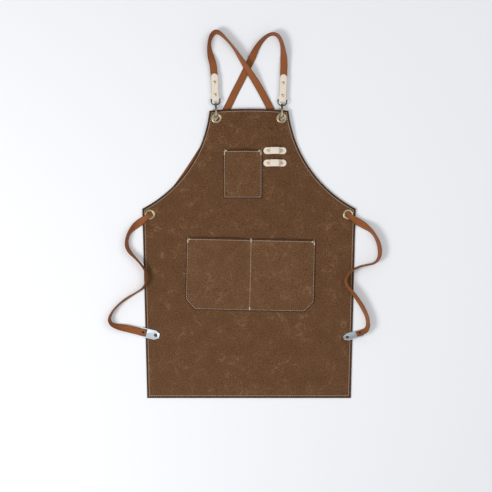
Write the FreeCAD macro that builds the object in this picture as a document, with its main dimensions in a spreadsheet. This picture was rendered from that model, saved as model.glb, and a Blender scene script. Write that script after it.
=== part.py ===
"""Bib apron laid flat: canvas panel, patch pockets, pen loops, webbing straps and swivel snap hooks.

Millimetres. +Y runs from the hem to the bib, +X to the right as the front is seen, +Z out of the
front. The floor is z = 0, and the origin is on it, halfway from the hem to the tops of the leather tabs.
Left and right are as the front is seen.
"""
import FreeCAD, Part
import Sketcher
import math
import os

Vector = FreeCAD.Vector
Rotation = FreeCAD.Rotation

DIMENSIONS = {
    # canvas panel
    "hem_half_width": 285.0,
    "side_half_width": 298.5,
    "side_height": 530.0,
    "bib_half_width": 110.5,
    "bib_height": 803.5,
    "armhole_radius": 352.0,
    "bib_edge_radius": 1113.0,
    "canvas": 1.2,
    # heights of the panel's underside above the floor, and where it climbs over straps and hooks
    "skirt_level": 1.1,
    "hem_width": 9.0,
    "waist_level": 3.6,
    "bib_level": 8.2,
    "waist_ramp_low": 458.0,
    "waist_ramp_high": 494.0,
    "bib_ramp_low": 706.0,
    "bib_ramp_high": 765.0,
    # patch pockets
    "pocket_depth": 6.2,
    "pocket_seam": 4.0,
    "pocket_hem": 2.4,
    "pocket_tab_width": 13.0,
    "pocket_tab_height": 11.0,
    "chest_width": 109.0,
    "chest_height": 137.0,
    "chest_x": -17.5,
    "chest_top": 696.0,
    "chest_rivet_inset": 7.8,
    "chest_rivet_drop": 4.2,
    "lower_width": 361.0,
    "lower_height": 203.0,
    "lower_x": 6.0,
    "lower_top": 447.0,
    "lower_corner_x": 26.0,
    "lower_corner_y": 28.0,
    "lower_tilt": -1.25,
    "lower_divider": 3.0,
    "lower_rivet_inset": 8.2,
    "lower_rivet_drop": 6.2,
    # pen loops
    "loop_length": 64.0,
    "loop_width": 19.0,
    "loop_leather": 1.8,
    "loop_gap_width": 22.0,
    "loop_gap_height": 9.0,
    "loop_shoulder": 3.0,
    "loop_x": 72.5,
    "loop_upper_y": 692.0,
    "loop_lower_y": 657.5,
    "loop_rivet_half": 19.3,
    # rivets
    "rivet_shank": 1.2,
    "rivet_play": 0.05,
    "rivet_foot": 1.0,
    "rivet_dome": 1.9,
    "rivet_rim": 0.6,
    "rivet_bore": 1.3,
    "loop_rivet_radius": 3.7,
    "pocket_rivet_radius": 3.2,
    "tab_rivet_radius": 4.1,
    "plate_rivet_radius": 3.2,
    # grommets
    "eyelet_bore": 8.5,
    "eyelet_wall": 0.6,
    "eyelet_flange": 14.0,
    "eyelet_crown": 1.4,
    "eyelet_play": 0.2,
    "washer": 0.8,
    "washer_radius": 13.5,
    "washer_play": 0.1,
    "curl": 0.45,
    "curl_radius": 10.4,
    "bib_grommet_inset": 19.5,
    "bib_grommet_drop": 20.5,
    "side_grommet_inset": 21.5,
    "side_grommet_drop": 16.0,
    # leather tabs on the strap ends
    "tab_width": 19.0,
    "tab_length": 73.0,
    "tab_leather": 1.8,
    "tab_lean": 2.8,
    "tab_pinch": 9.5,
    "tab_rivet_low": 14.0,
    "tab_rivet_high": 49.0,
    "tab_play": 0.05,
    # swivel snap hooks, measured down from the eye's bar
    "bar_outset": 2.3,
    "bar_rise": 30.5,
    "right_hook_drop": 2.2,
    "hook_axis_height": 8.9,
    "bar_radius": 1.9,
    "bar_play": 0.15,
    "eye_wire": 1.7,
    "eye_half_width": 12.3,
    "eye_corner": 9.0,
    "eye_horn": 1.6,
    "eye_base": 13.3,
    "collar_radius": 3.3,
    "collar_top": 10.5,
    "collar_bottom": 18.5,
    "post_radius": 2.0,
    "post_play": 0.05,
    "post_head_radius": 3.0,
    "post_head": 1.6,
    "neck_radius": 2.8,
    "swivel_gap": 0.15,
    "hook_shoulder": 22.5,
    "hook_throat": 26.0,
    "hook_floor": 46.0,
    "hook_half_gap": 5.0,
    "hook_arm": 3.6,
    "hook_width": 5.0,
    "hook_corner": 3.0,
    "hook_edge_round": 1.0,
    "hook_tip": 4.0,
    "hook_ledge": 0.1,
    "ear": 1.0,
    "ear_length": 4.6,
    "ear_chamfer": 2.0,
    "pivot_drop": 2.2,
    "gate_play": 0.1,
    "gate_thick": 3.0,
    "gate_pin_radius": 0.8,
    "gate_pin_play": 0.05,
    "gate_nose": 2.0,
    "gate_reveal": 0.2,
    "gate_neck_gap": 0.4,
    "spring_width": 1.0,
    "spring_wire": 0.3,
    "spring_leg": 2.2,
    "spring_play": 0.1,
    # webbing and its end plates
    "webbing": 1.8,
    "plate_width": 26.0,
    "plate_length": 56.0,
    "plate_sheet": 1.4,
    "plate_rim": 2.2,
    "plate_rim_height": 1.0,
    "plate_nose": 6.0,
    "plate_shoulder": 12.8,
    "plate_hole": 5.0,
    "plate_hole_inset": 10.8,
    "plate_rivet_to_hole": 36.3,
    "plate_rivet_inset": 9.0,
    "seat_gap": 0.2,
}

# Route of each webbing strap, measured from the hem's middle: x, y, z, roll in degrees (0 lies flat,
# 90 stands on its edge) and width. It starts between the layers of its leather tab, runs over the
# shoulder loop, passes behind the bib and comes up through the far side grommet to its end plate.
LEFT_TAB_STRAP = [
    (-93.9, 846.0, 8.9, 0, 20),
    (-97.7, 922.0, 8.9, 0, 20),
    (-104.5, 947.0, 8.2, 12, 20),
    (-110.5, 971.0, 9.3, 50, 20),
    (-111.0, 996.0, 10.6, 68, 20),
    (-104.0, 1016.0, 9.5, 60, 20),
    (-91.5, 1025.5, 9.5, 60, 20),
    (-78.0, 1018.0, 10.3, 70, 20),
    (-60.0, 999.5, 10.4, 80, 20),
    (-42.5, 978.5, 11.0, 78, 20),
    (-27.5, 955.5, 10.6, 64, 20),
    (-14.5, 935.5, 10.6, 50, 20),
    (0.5, 912.5, 10.0, 36, 20),
    (17.0, 888.0, 6.0, 22, 20),
    (36.5, 855.0, 3.3, 6, 20),
    (57.5, 815.0, 1.4, 0, 20),
    (89.0, 755.0, 1.2, 0, 20),
    (124.0, 694.0, 1.2, 0, 20),
    (162.0, 636.0, 1.2, 0, 20),
    (203.0, 582.0, 1.2, 0, 20),
    (240.0, 545.0, 1.2, 0, 20),
    (260.0, 528.5, 1.1, 0, 16),
    (273.9, 516.6, 1.2, 0, 12),
    (279.5, 511.6, 8.0, 0, 12),
    (289.0, 503.5, 8.6, 0, 16),
    (303.0, 494.5, 5.6, 0, 20),
    (319.0, 485.0, 6.8, 22, 20),
    (336.0, 473.0, 11.1, 58, 20),
    (350.0, 458.0, 10.3, 72, 20),
    (361.0, 437.0, 9.9, 66, 20),
    (366.5, 412.0, 9.6, 62, 20),
    (363.5, 391.0, 10.2, 72, 20),
    (350.5, 377.0, 10.4, 80, 20),
    (331.0, 373.0, 10.6, 80, 20),
    (311.0, 369.5, 12.0, 80, 20),
    (292.0, 361.0, 13.2, 78, 20),
    (276.5, 348.0, 13.2, 76, 20),
    (268.5, 331.0, 13.2, 74, 20),
    (273.5, 313.0, 13.2, 70, 20),
    (291.0, 294.0, 13.2, 66, 20),
    (306.0, 272.5, 12.0, 60, 20),
    (320.0, 250.0, 10.2, 60, 20),
    (330.5, 227.0, 10.3, 66, 20),
    (332.5, 207.0, 11.2, 66, 20),
    (330.0, 195.8, 13.0, 58, 20),
    (321.0, 186.3, 14.4, 48, 20),
    (300.0, 180.3, 14.4, 48, 20),
]
RIGHT_TAB_STRAP = [
    (93.9, 843.8, 8.9, 0, 20),
    (97.6, 919.8, 8.9, 0, 20),
    (97.6, 944.0, 8.2, -12, 20),
    (95.8, 967.0, 9.3, -48, 20),
    (92.0, 991.0, 10.5, -66, 20),
    (83.5, 1011.5, 10.1, -70, 20),
    (68.0, 1019.5, 10.2, -74, 20),
    (50.0, 1012.5, 10.4, -72, 20),
    (33.5, 996.5, 10.0, -58, 20),
    (20.0, 976.5, 9.5, -42, 20),
    (11.5, 958.5, 6.4, -16, 20),
    (4.0, 941.5, 1.5, 0, 20),
    (-6.5, 921.0, 1.2, 0, 20),
    (-23.5, 886.0, 1.3, 0, 20),
    (-41.0, 853.0, 1.2, 0, 20),
    (-59.0, 814.0, 1.2, 0, 20),
    (-92.0, 755.0, 1.2, 0, 20),
    (-130.5, 695.5, 1.2, 0, 20),
    (-167.5, 637.5, 1.2, 0, 20),
    (-207.5, 581.5, 1.2, 0, 20),
    (-241.5, 545.0, 1.2, 0, 20),
    (-260.5, 528.5, 1.1, 0, 16),
    (-273.9, 516.6, 1.2, 0, 12),
    (-279.5, 511.6, 8.0, 0, 12),
    (-289.0, 504.0, 8.6, 0, 16),
    (-302.0, 494.0, 5.6, 0, 20),
    (-318.0, 482.0, 7.2, -30, 20),
    (-333.0, 465.5, 11.6, -66, 20),
    (-341.5, 445.0, 10.2, -72, 20),
    (-341.5, 424.5, 9.7, -62, 20),
    (-333.0, 408.0, 10.0, -66, 20),
    (-315.5, 390.5, 11.0, -80, 20),
    (-298.0, 371.5, 12.8, -80, 20),
    (-285.0, 349.5, 13.2, -78, 20),
    (-284.0, 327.0, 13.2, -72, 20),
    (-293.5, 308.5, 13.0, -78, 20),
    (-315.0, 295.0, 11.0, -80, 20),
    (-341.0, 279.5, 10.4, -74, 20),
    (-364.0, 262.5, 10.4, -80, 20),
    (-382.5, 241.5, 10.5, -82, 20),
    (-391.5, 221.0, 10.5, -76, 20),
    (-384.5, 206.5, 10.3, -66, 20),
    (-366.0, 200.0, 9.0, -42, 20),
    (-342.0, 195.5, 6.6, -10, 20),
    (-317.0, 189.0, 5.2, 0, 20),
    (-287.5, 182.2, 5.2, 0, 20),
]
ARC_STEP = 14.0  # degrees of bend between neighbouring sections of a strap
SHARE_OF_RUN = 0.45  # how much of a run each bend may take
THROUGH = 1.0  # how far a cutter or a blank runs past what it cuts or joins

os.makedirs("parts", exist_ok=True)
doc = FreeCAD.newDocument("apron")


# ---------------------------------------------------------------- sizes
class Size(float):
    """A number that also knows the sheet expression it stands for."""

    def __new__(cls, value, text=None):
        size = super().__new__(cls, value)
        size.text = text or repr(float(value))
        return size

    def combined(self, other, sign, result, swapped=False):
        left, right = (Size(other), self) if swapped else (self, Size(other, getattr(other, "text", None)))
        return Size(result, f"({left.text} {sign} {right.text})")

    def __add__(self, other):
        return self.combined(other, "+", float(self) + float(other))

    def __radd__(self, other):
        return self.combined(other, "+", float(other) + float(self), True)

    def __sub__(self, other):
        return self.combined(other, "-", float(self) - float(other))

    def __rsub__(self, other):
        return self.combined(other, "-", float(other) - float(self), True)

    def __mul__(self, other):
        return self.combined(other, "*", float(self) * float(other))

    def __rmul__(self, other):
        return self.combined(other, "*", float(other) * float(self), True)

    def __truediv__(self, other):
        return self.combined(other, "/", float(self) / float(other))

    def __neg__(self):
        return Size(-float(self), f"(-1 * {self.text})")


class Sizes:
    """Every driving dimension, as an attribute."""


def make_sheet():
    """Write the driving dimensions into a spreadsheet and return them as named sizes."""
    sheet = doc.addObject("Spreadsheet::Sheet", "Dims")
    sizes = Sizes()
    for row, (alias, value) in enumerate(DIMENSIONS.items(), start=1):
        sheet.set(f"A{row}", alias)
        sheet.set(f"B{row}", str(value))
        sheet.setAlias(f"B{row}", alias)
        setattr(sizes, alias, Size(value, f"Dims.{alias}"))
    doc.recompute()
    return sizes


D = make_sheet()
BIB_GROMMET_X = D.bib_half_width - D.bib_grommet_inset
BIB_GROMMET_Y = D.bib_height - D.bib_grommet_drop
SIDE_GROMMET_X = D.side_half_width - D.side_grommet_inset
SIDE_GROMMET_Y = D.side_height - D.side_grommet_drop
BAR_X = BIB_GROMMET_X + D.bar_outset
BAR_Y = D.bib_height + D.bar_rise
ORIGIN_Y = (BAR_Y + D.tab_length) / 2  # middle of hem to leather tabs


def up(y):
    """A height above the hem, in the part's own frame."""
    return y - ORIGIN_Y


# ---------------------------------------------------------------- drawing helpers
def bind(obj, path, size):
    """Drive one property of an object from the sheet."""
    if getattr(size, "text", None):
        obj.setExpression(path, size.text)


def place(obj, x=0.0, y=0.0, z=0.0, turn=0.0):
    """Put an object at x, y, z, turned about Z, and tie that place to the sheet."""
    obj.Placement = FreeCAD.Placement(Vector(x, y, z), Rotation(Vector(0, 0, 1), float(turn)))
    for axis, size in zip("xyz", (x, y, z)):
        bind(obj, f"Placement.Base.{axis}", size)
    bind(obj, "Placement.Rotation.Angle", turn)
    return obj


PLANES = {
    "XY": Rotation(),
    "XZ": Rotation(Vector(1, 0, 0), 90),
    "YZ": Rotation(Vector(1, 1, 1), 120),
}


def arc_through(start, end, radius):
    """The short arc between two points, drawn anticlockwise.

    A positive radius bulges to the right on the way from start to end, a negative one to the left.
    """
    chord = end - start
    half = chord.Length / 2
    sagitta = abs(radius) - math.sqrt(max(radius * radius - half * half, 0.0))
    right = Vector(chord.y, -chord.x, 0).normalize()
    middle = start + chord * 0.5 + right * math.copysign(sagitta, radius)
    if radius > 0:
        return Part.Arc(start, middle, end)
    return Part.Arc(end, middle, start)


def draw(sketch, corners):
    """Draw a closed outline with every corner driven by the sheet.

    A corner is (x, y), reached by a straight line, or (x, y, radius), reached by an arc.
    """
    points = [Vector(float(corner[0]), float(corner[1]), 0) for corner in corners]
    count = len(corners)
    for index, corner in enumerate(corners):
        start = points[index - 1]
        end = points[index]
        if len(corner) == 3:
            sketch.addGeometry(arc_through(start, end, float(corner[2])), False)
        else:
            sketch.addGeometry(Part.LineSegment(start, end), False)
    # a curve's corner is its end point, or its start point where an arc is drawn backwards
    ends = [1 if len(corner) == 3 and corner[2] < 0 else 2 for corner in corners]
    rule = Sketcher.Constraint
    for index in range(count):
        following = (index + 1) % count
        sketch.addConstraint(rule("Coincident", index, ends[index], following, 3 - ends[following]))
    for index, corner in enumerate(corners):
        for kind, size in zip(("DistanceX", "DistanceY"), corner):
            number = sketch.addConstraint(rule(kind, -1, 1, index, ends[index], float(size)))
            bind(sketch, f"Constraints[{number}]", size)
        if len(corner) == 3:
            number = sketch.addConstraint(rule("Radius", index, abs(float(corner[2]))))
            if corner[2] < 0:
                bind(sketch, f"Constraints[{number}]", -corner[2])
            else:
                bind(sketch, f"Constraints[{number}]", corner[2])
    return sketch


def outline(name, plane, corners):
    """A free-standing sketch on one of the main planes."""
    sketch = doc.addObject("Sketcher::SketchObject", name)
    sketch.Placement = FreeCAD.Placement(Vector(), PLANES[plane])
    return draw(sketch, corners)


def revolved(name, profile):
    """A solid of revolution about Z from a profile on the XZ plane."""
    solid = doc.addObject("Part::Revolution", name)
    solid.Source = profile
    solid.Axis = Vector(0, 0, 1)
    solid.Base = Vector(0, 0, 0)
    solid.Angle = 360.0
    solid.Solid = True
    return solid


def extruded(name, profile, direction, length, both=False):
    """A prism of a sketch along a direction; both=True puts half on each side of it."""
    solid = doc.addObject("Part::Extrusion", name)
    solid.Base = profile
    solid.DirMode = "Custom"
    solid.Dir = direction
    solid.LengthFwd = float(length)
    bind(solid, "LengthFwd", length)
    solid.Symmetric = both
    solid.Solid = True
    return solid


def cylinder(name, radius, height, x=0.0, y=0.0, z=0.0):
    """An upright cylinder."""
    solid = doc.addObject("Part::Cylinder", name)
    solid.Radius = float(radius)
    bind(solid, "Radius", radius)
    solid.Height = float(height)
    bind(solid, "Height", height)
    return place(solid, x, y, z)


def box(name, lengths, corner):
    """A box from its lowest corner."""
    solid = doc.addObject("Part::Box", name)
    for side, length in zip(("Length", "Width", "Height"), lengths):
        setattr(solid, side, float(length))
        bind(solid, side, length)
    return place(solid, *corner)


def joined(name, shapes):
    """Several solids made one."""
    solid = doc.addObject("Part::MultiFuse", name)
    solid.Shapes = shapes
    return solid


def cut(name, base, tools):
    """A solid with other solids taken out of it."""
    tool = tools[0] if len(tools) == 1 else joined(f"{name}_cutters", tools)
    solid = doc.addObject("Part::Cut", name)
    solid.Base = base
    solid.Tool = tool
    return solid


def common(name, first, second):
    """What two solids share."""
    solid = doc.addObject("Part::MultiCommon", name)
    solid.Shapes = [first, second]
    return solid


def grouped(name, shapes):
    """Like pieces kept as separate solids of one node."""
    group = doc.addObject("Part::Compound", name)
    group.Links = shapes
    return group


NODES = []


def node(obj, label):
    """Name a finished sub-part and put it on the list to write."""
    obj.Label = label
    NODES.append(obj)
    return obj


# ---------------------------------------------------------------- rivets
def rivet_cap_solid(name, radius):
    """The domed cap of a two-part rivet, with the bore that its shank is pressed into."""
    bore = D.rivet_shank + D.rivet_play
    crown = radius * 0.45
    profile = outline(f"{name}_profile", "XZ", [
        (bore, Size(0)),
        (radius, Size(0)),
        (radius, D.rivet_rim),
        (crown, D.rivet_dome, radius * 0.9),
        (Size(0), D.rivet_dome),
        (Size(0), D.rivet_bore),
        (bore, D.rivet_bore),
    ])
    return revolved(name, profile)


def rivet_post_solid(name, radius, stack):
    """The shank of a two-part rivet with its foot behind the layers it holds."""
    foot = radius * 0.9
    profile = outline(f"{name}_profile", "XZ", [
        (Size(0), -stack - D.rivet_foot),
        (foot, -stack - D.rivet_foot),
        (foot, -stack - D.rivet_play),
        (D.rivet_shank, -stack - D.rivet_play),
        (D.rivet_shank, D.rivet_bore - D.rivet_play),
        (Size(0), D.rivet_bore - D.rivet_play),
    ])
    return revolved(name, profile)


def rivets(label, radius, stack, places):
    """One node of caps and one node of posts for a set of like rivets."""
    caps = []
    posts = []
    for index, spot in enumerate(places):
        caps.append(place(rivet_cap_solid(f"{label}_cap_{index}", radius), *spot))
        posts.append(place(rivet_post_solid(f"{label}_post_{index}", radius, stack), *spot))
    node(grouped(f"{label}_caps", caps), f"{label}_caps")
    node(grouped(f"{label}_posts", posts), f"{label}_posts")


def drill(name, x, y, low, depth):
    """A cylinder that clears a rivet's shank."""
    return cylinder(name, D.rivet_shank + D.rivet_play, depth, x, y, low)


# ---------------------------------------------------------------- canvas panel
def turned(x, y, angle):
    """A point turned about the origin by an angle from the sheet."""
    cosine = math.cos(math.radians(float(angle)))
    sine = math.sin(math.radians(float(angle)))
    text_x = f"({x.text} * cos({angle.text} * 1 deg) - {y.text} * sin({angle.text} * 1 deg))"
    text_y = f"({x.text} * sin({angle.text} * 1 deg) + {y.text} * cos({angle.text} * 1 deg))"
    return (
        Size(float(x) * cosine - float(y) * sine, text_x),
        Size(float(x) * sine + float(y) * cosine, text_y),
    )


def lower_pocket_point(across, down):
    """A point of the tilted lower pocket, from the middle of its mouth."""
    x, y = turned(across, down, D.lower_tilt)
    return D.lower_x + x, up(D.lower_top) + y


WAIST_TOP = D.waist_level + D.canvas
BIB_TOP = D.bib_level + D.canvas
SKIRT_TOP = D.skirt_level + D.canvas

GROMMETS = {
    "left_bib": (-BIB_GROMMET_X, up(BIB_GROMMET_Y), BIB_TOP),
    "right_bib": (BIB_GROMMET_X, up(BIB_GROMMET_Y), BIB_TOP),
    "left_side": (-SIDE_GROMMET_X, up(SIDE_GROMMET_Y), WAIST_TOP),
    "right_side": (SIDE_GROMMET_X, up(SIDE_GROMMET_Y), WAIST_TOP),
}
CHEST_RIVET_OFFSET = D.chest_width / 2 - D.chest_rivet_inset
CHEST_RIVETS = [
    (D.chest_x + CHEST_RIVET_OFFSET * side, up(D.chest_top - D.chest_rivet_drop), WAIST_TOP + D.pocket_hem)
    for side in (-1, 1)
]
LOWER_RIVETS = [
    (*lower_pocket_point((D.lower_width / 2 - D.lower_rivet_inset) * side, -D.lower_rivet_drop),
     SKIRT_TOP + D.pocket_hem)
    for side in (-1, 1)
]
LOOP_RIVETS = [
    (D.loop_x + D.loop_rivet_half * side, up(height), WAIST_TOP + D.loop_leather)
    for height in (D.loop_upper_y, D.loop_lower_y)
    for side in (-1, 1)
]


def apron_panel():
    """The hemmed canvas, lying on its hem at the skirt and lifted over straps and hooks above."""
    low, high = up(Size(0)), up(D.bib_height)
    plan = outline("panel_plan", "XY", [
        (-D.hem_half_width, low),
        (D.hem_half_width, low),
        (D.side_half_width, up(D.side_height)),
        (D.bib_half_width, high, -D.armhole_radius),
        (-D.bib_half_width, high, D.bib_edge_radius),
        (-D.side_half_width, up(D.side_height), -D.armhole_radius),
    ])
    crown = D.bib_half_width  # far enough past the bib's curved top edge
    lie = [
        (low - THROUGH, D.skirt_level),
        (up(D.waist_ramp_low), D.skirt_level),
        (up(D.waist_ramp_high), D.waist_level),
        (up(D.bib_ramp_low), D.waist_level),
        (up(D.bib_ramp_high), D.bib_level),
        (high + crown, D.bib_level),
    ]
    section = outline("panel_section", "YZ", lie + [(y, z + D.canvas) for y, z in reversed(lie)])
    prism = extruded("panel_prism", plan, Vector(0, 0, 1), D.bib_level + D.canvas + THROUGH)
    wide = D.side_half_width * 2 + THROUGH * 2
    sheet = extruded("panel_sheet", section, Vector(1, 0, 0), wide, both=True)
    canvas = common("panel_canvas", prism, sheet)
    hem_top = up(D.waist_ramp_low) - D.hem_width
    under = box("panel_under", (wide, hem_top - low + THROUGH, D.skirt_level),
                (-wide / 2, low - THROUGH, Size(0)))
    fold = common("panel_fold", extruded("panel_fold_prism", plan, Vector(0, 0, 1), D.skirt_level * 2), under)
    inside = outline("panel_hem_inside", "XY", [
        (-D.hem_half_width + D.hem_width, low + D.hem_width),
        (D.hem_half_width - D.hem_width, low + D.hem_width),
        (D.side_half_width - D.hem_width, up(D.side_height)),
        (-D.side_half_width + D.hem_width, up(D.side_height)),
    ])
    hem = cut("panel_hem", fold, [extruded("panel_inside", inside, Vector(0, 0, 1), D.skirt_level * 2)])
    blank = joined("panel_blank", [canvas, hem])
    holes = [
        cylinder(f"panel_hole_{name}", D.eyelet_bore + D.eyelet_wall + D.eyelet_play,
                 D.canvas + 2 * THROUGH, x, y, top - D.canvas - THROUGH)
        for name, (x, y, top) in GROMMETS.items()
    ]
    for index, (x, y, top) in enumerate(CHEST_RIVETS + LOOP_RIVETS):
        holes.append(drill(f"panel_bib_rivet_{index}", x, y, D.waist_level - THROUGH, D.canvas + 2 * THROUGH))
    for index, (x, y, top) in enumerate(LOWER_RIVETS):
        holes.append(drill(f"panel_skirt_rivet_{index}", x, y, Size(0), SKIRT_TOP + THROUGH))
    node(cut("panel", blank, holes), "apron_panel")


# ---------------------------------------------------------------- patch pockets
def pocket_body(name, corners, cavities, steps_left):
    """A patch pocket: a shallow tray, closed at its seams, open at its mouth and against the panel.

    It is drawn with the middle of its mouth at the origin. corners is its outline, cavities are the
    boxes taken out behind its front, and steps_left is where each riveted mouth corner, which lies
    flat, has its left edge. It returns the body and the boxes that step those corners down.
    """
    body = doc.addObject("PartDesign::Body", name)
    plane = next(part for part in body.Origin.OriginFeatures if part.Role == "XY_Plane")
    sketch = body.newObject("Sketcher::SketchObject", f"{name}_outline")
    sketch.AttachmentSupport = (plane, "")
    sketch.MapMode = "FlatFace"
    draw(sketch, corners)
    pad = body.newObject("PartDesign::Pad", f"{name}_pad")
    pad.Profile = sketch
    pad.Length = float(D.pocket_depth)
    bind(pad, "Length", D.pocket_depth)
    doc.recompute()
    full = body.Shape.Volume
    for index, (left, right, bottom, upper) in enumerate(cavities):
        hollow = body.newObject("Sketcher::SketchObject", f"{name}_hollow_{index}")
        hollow.AttachmentSupport = (plane, "")
        hollow.MapMode = "FlatFace"
        draw(hollow, [(left, bottom), (right, bottom), (right, upper), (left, upper)])
        pocket = body.newObject("PartDesign::Pocket", f"{name}_cavity_{index}")
        pocket.Profile = hollow
        pocket.Length = float(D.pocket_depth - D.canvas)
        bind(pocket, "Length", D.pocket_depth - D.canvas)
        pocket.Reversed = True
    doc.recompute()
    if not body.Shape.Volume < 0.6 * full:
        raise RuntimeError(f"{name}: its cavity was not cut")
    steps = [
        box(f"{name}_step_{index}",
            (D.pocket_tab_width + THROUGH, D.pocket_tab_height + THROUGH, D.pocket_depth),
            (left, -D.pocket_tab_height, D.pocket_hem))
        for index, left in enumerate(steps_left)
    ]
    return body, steps


def riveted_pocket(label, body, steps, shanks, x, top, level, turn=0.0):
    """Step the mouth corners down, drill them for their rivets and put the pocket in place."""
    pocket = cut(label, body, steps + shanks)
    place(pocket, x, up(top), level, turn)
    node(pocket, label)


def chest_pocket():
    """The single pocket on the bib."""
    half, deep, seam = D.chest_width / 2, D.chest_height, D.pocket_seam
    tab = D.pocket_tab_width
    corners = [(-half, -deep), (half, -deep), (half, Size(0)), (-half, Size(0))]
    beside_tabs = half - tab - seam / 2
    cavities = [
        (-half + seam, half - seam, -deep + seam, -D.pocket_tab_height - seam / 2),
        (-beside_tabs, beside_tabs, -D.pocket_tab_height - seam, Size(THROUGH)),
    ]
    body, steps = pocket_body("chest", corners, cavities, [-half - THROUGH, half - tab])
    shanks = [
        drill(f"chest_shank_{index}", CHEST_RIVET_OFFSET * side, -D.chest_rivet_drop, -THROUGH,
              D.pocket_hem + 2 * THROUGH)
        for index, side in enumerate((-1, 1))
    ]
    riveted_pocket("chest_pocket", body, steps, shanks, D.chest_x, D.chest_top, WAIST_TOP)


def lower_pocket():
    """The wide pocket on the skirt, with cut lower corners and a seam that divides it in two."""
    half, deep, seam = D.lower_width / 2, D.lower_height, D.pocket_seam
    tab = D.pocket_tab_width
    cut_x, cut_y = D.lower_corner_x, D.lower_corner_y
    corners = [
        (-half + cut_x, -deep),
        (half - cut_x, -deep),
        (half, -deep + cut_y),
        (half, Size(0)),
        (-half, Size(0)),
        (-half, -deep + cut_y),
    ]
    middle = D.lower_divider / 2
    cavities = []
    for side in (-1, 1):
        across = sorted([middle * side, (half - seam) * side], key=float)
        narrow = sorted([middle * side, (half - cut_x - seam) * side], key=float)
        mouth = sorted([middle * side, (half - tab - seam / 2) * side], key=float)
        cavities.append((across[0], across[1], -deep + cut_y + seam / 2, -D.pocket_tab_height - seam / 2))
        cavities.append((narrow[0], narrow[1], -deep + seam, -deep + cut_y + seam))
        cavities.append((mouth[0], mouth[1], -D.pocket_tab_height - seam, Size(THROUGH)))
    body, steps = pocket_body("lower", corners, cavities, [-half - THROUGH, half - tab])
    offset = half - D.lower_rivet_inset
    shanks = [
        drill(f"lower_shank_{index}", offset * side, -D.lower_rivet_drop,
              -THROUGH, D.pocket_hem + 2 * THROUGH)
        for index, side in enumerate((-1, 1))
    ]
    riveted_pocket("lower_pocket", body, steps, shanks, D.lower_x, D.lower_top, SKIRT_TOP, D.lower_tilt)


# ---------------------------------------------------------------- pen loops
def pen_loop(label, height):
    """A leather loop: two flat feet and an arch between them, with rounded ends."""
    half, foot = D.loop_length / 2, D.loop_leather
    gap, rise, ease = D.loop_gap_width / 2, D.loop_gap_height, D.loop_shoulder
    inner = gap - ease
    section = outline(f"{label}_section", "XZ", [
        (-half, Size(0)),
        (-gap, Size(0)),
        (-gap, rise - ease),
        (-inner, rise, -ease),
        (inner, rise),
        (gap, rise - ease, -ease),
        (gap, Size(0)),
        (half, Size(0)),
        (half, foot),
        (gap + foot, foot),
        (gap + foot, rise - ease),
        (inner, rise + foot, ease + foot),
        (-inner, rise + foot),
        (-gap - foot, rise - ease, ease + foot),
        (-gap - foot, foot),
        (-half, foot),
    ])
    strip = extruded(f"{label}_strip", section, Vector(0, 1, 0), D.loop_width, both=True)
    end = D.loop_width / 2
    plan = outline(f"{label}_plan", "XY", [
        (-half + end, -end, end),
        (half - end, -end),
        (half, Size(0), end),
        (half - end, end, end),
        (-half + end, end),
        (-half, Size(0), end),
    ])
    prism = extruded(f"{label}_prism", plan, Vector(0, 0, 1), rise + foot + THROUGH)
    blank = common(f"{label}_blank", strip, prism)
    shanks = [
        drill(f"{label}_shank_{index}", D.loop_rivet_half * side, Size(0), -THROUGH, foot + 2 * THROUGH)
        for index, side in enumerate((-1, 1))
    ]
    loop = cut(label, blank, shanks)
    place(loop, D.loop_x, up(height), WAIST_TOP)
    node(loop, label)


# ---------------------------------------------------------------- grommets
def grommet(name, x, y, top):
    """A brass eyelet set through the canvas, and the washer it is curled over behind."""
    bore, outer = D.eyelet_bore, D.eyelet_bore + D.eyelet_wall
    back = -D.canvas - D.washer
    eyelet = outline(f"{name}_eyelet_profile", "XZ", [
        (bore, back - D.curl),
        (D.curl_radius, back - D.curl),
        (D.curl_radius, back - D.rivet_play),
        (outer, back - D.rivet_play),
        (outer, Size(0)),
        (D.eyelet_flange, Size(0)),
        (D.eyelet_flange, D.eyelet_crown * 0.35),
        (D.eyelet_flange * 0.8, D.eyelet_crown, D.eyelet_crown * 3.2),
        (bore + D.eyelet_wall, D.eyelet_crown * 0.75, D.eyelet_crown * 2.4),
        (bore, D.eyelet_crown * 0.2),
    ])
    node(place(revolved(f"{name}_eyelet", eyelet), x, y, top), f"{name}_grommet")
    inner = outer + D.washer_play
    washer = outline(f"{name}_washer_profile", "XZ", [
        (inner, -D.canvas - D.washer),
        (D.washer_radius, -D.canvas - D.washer),
        (D.washer_radius, -D.canvas),
        (inner, -D.canvas),
    ])
    node(place(revolved(f"{name}_back", washer), x, y, top), f"{name}_grommet_washer")


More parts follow.
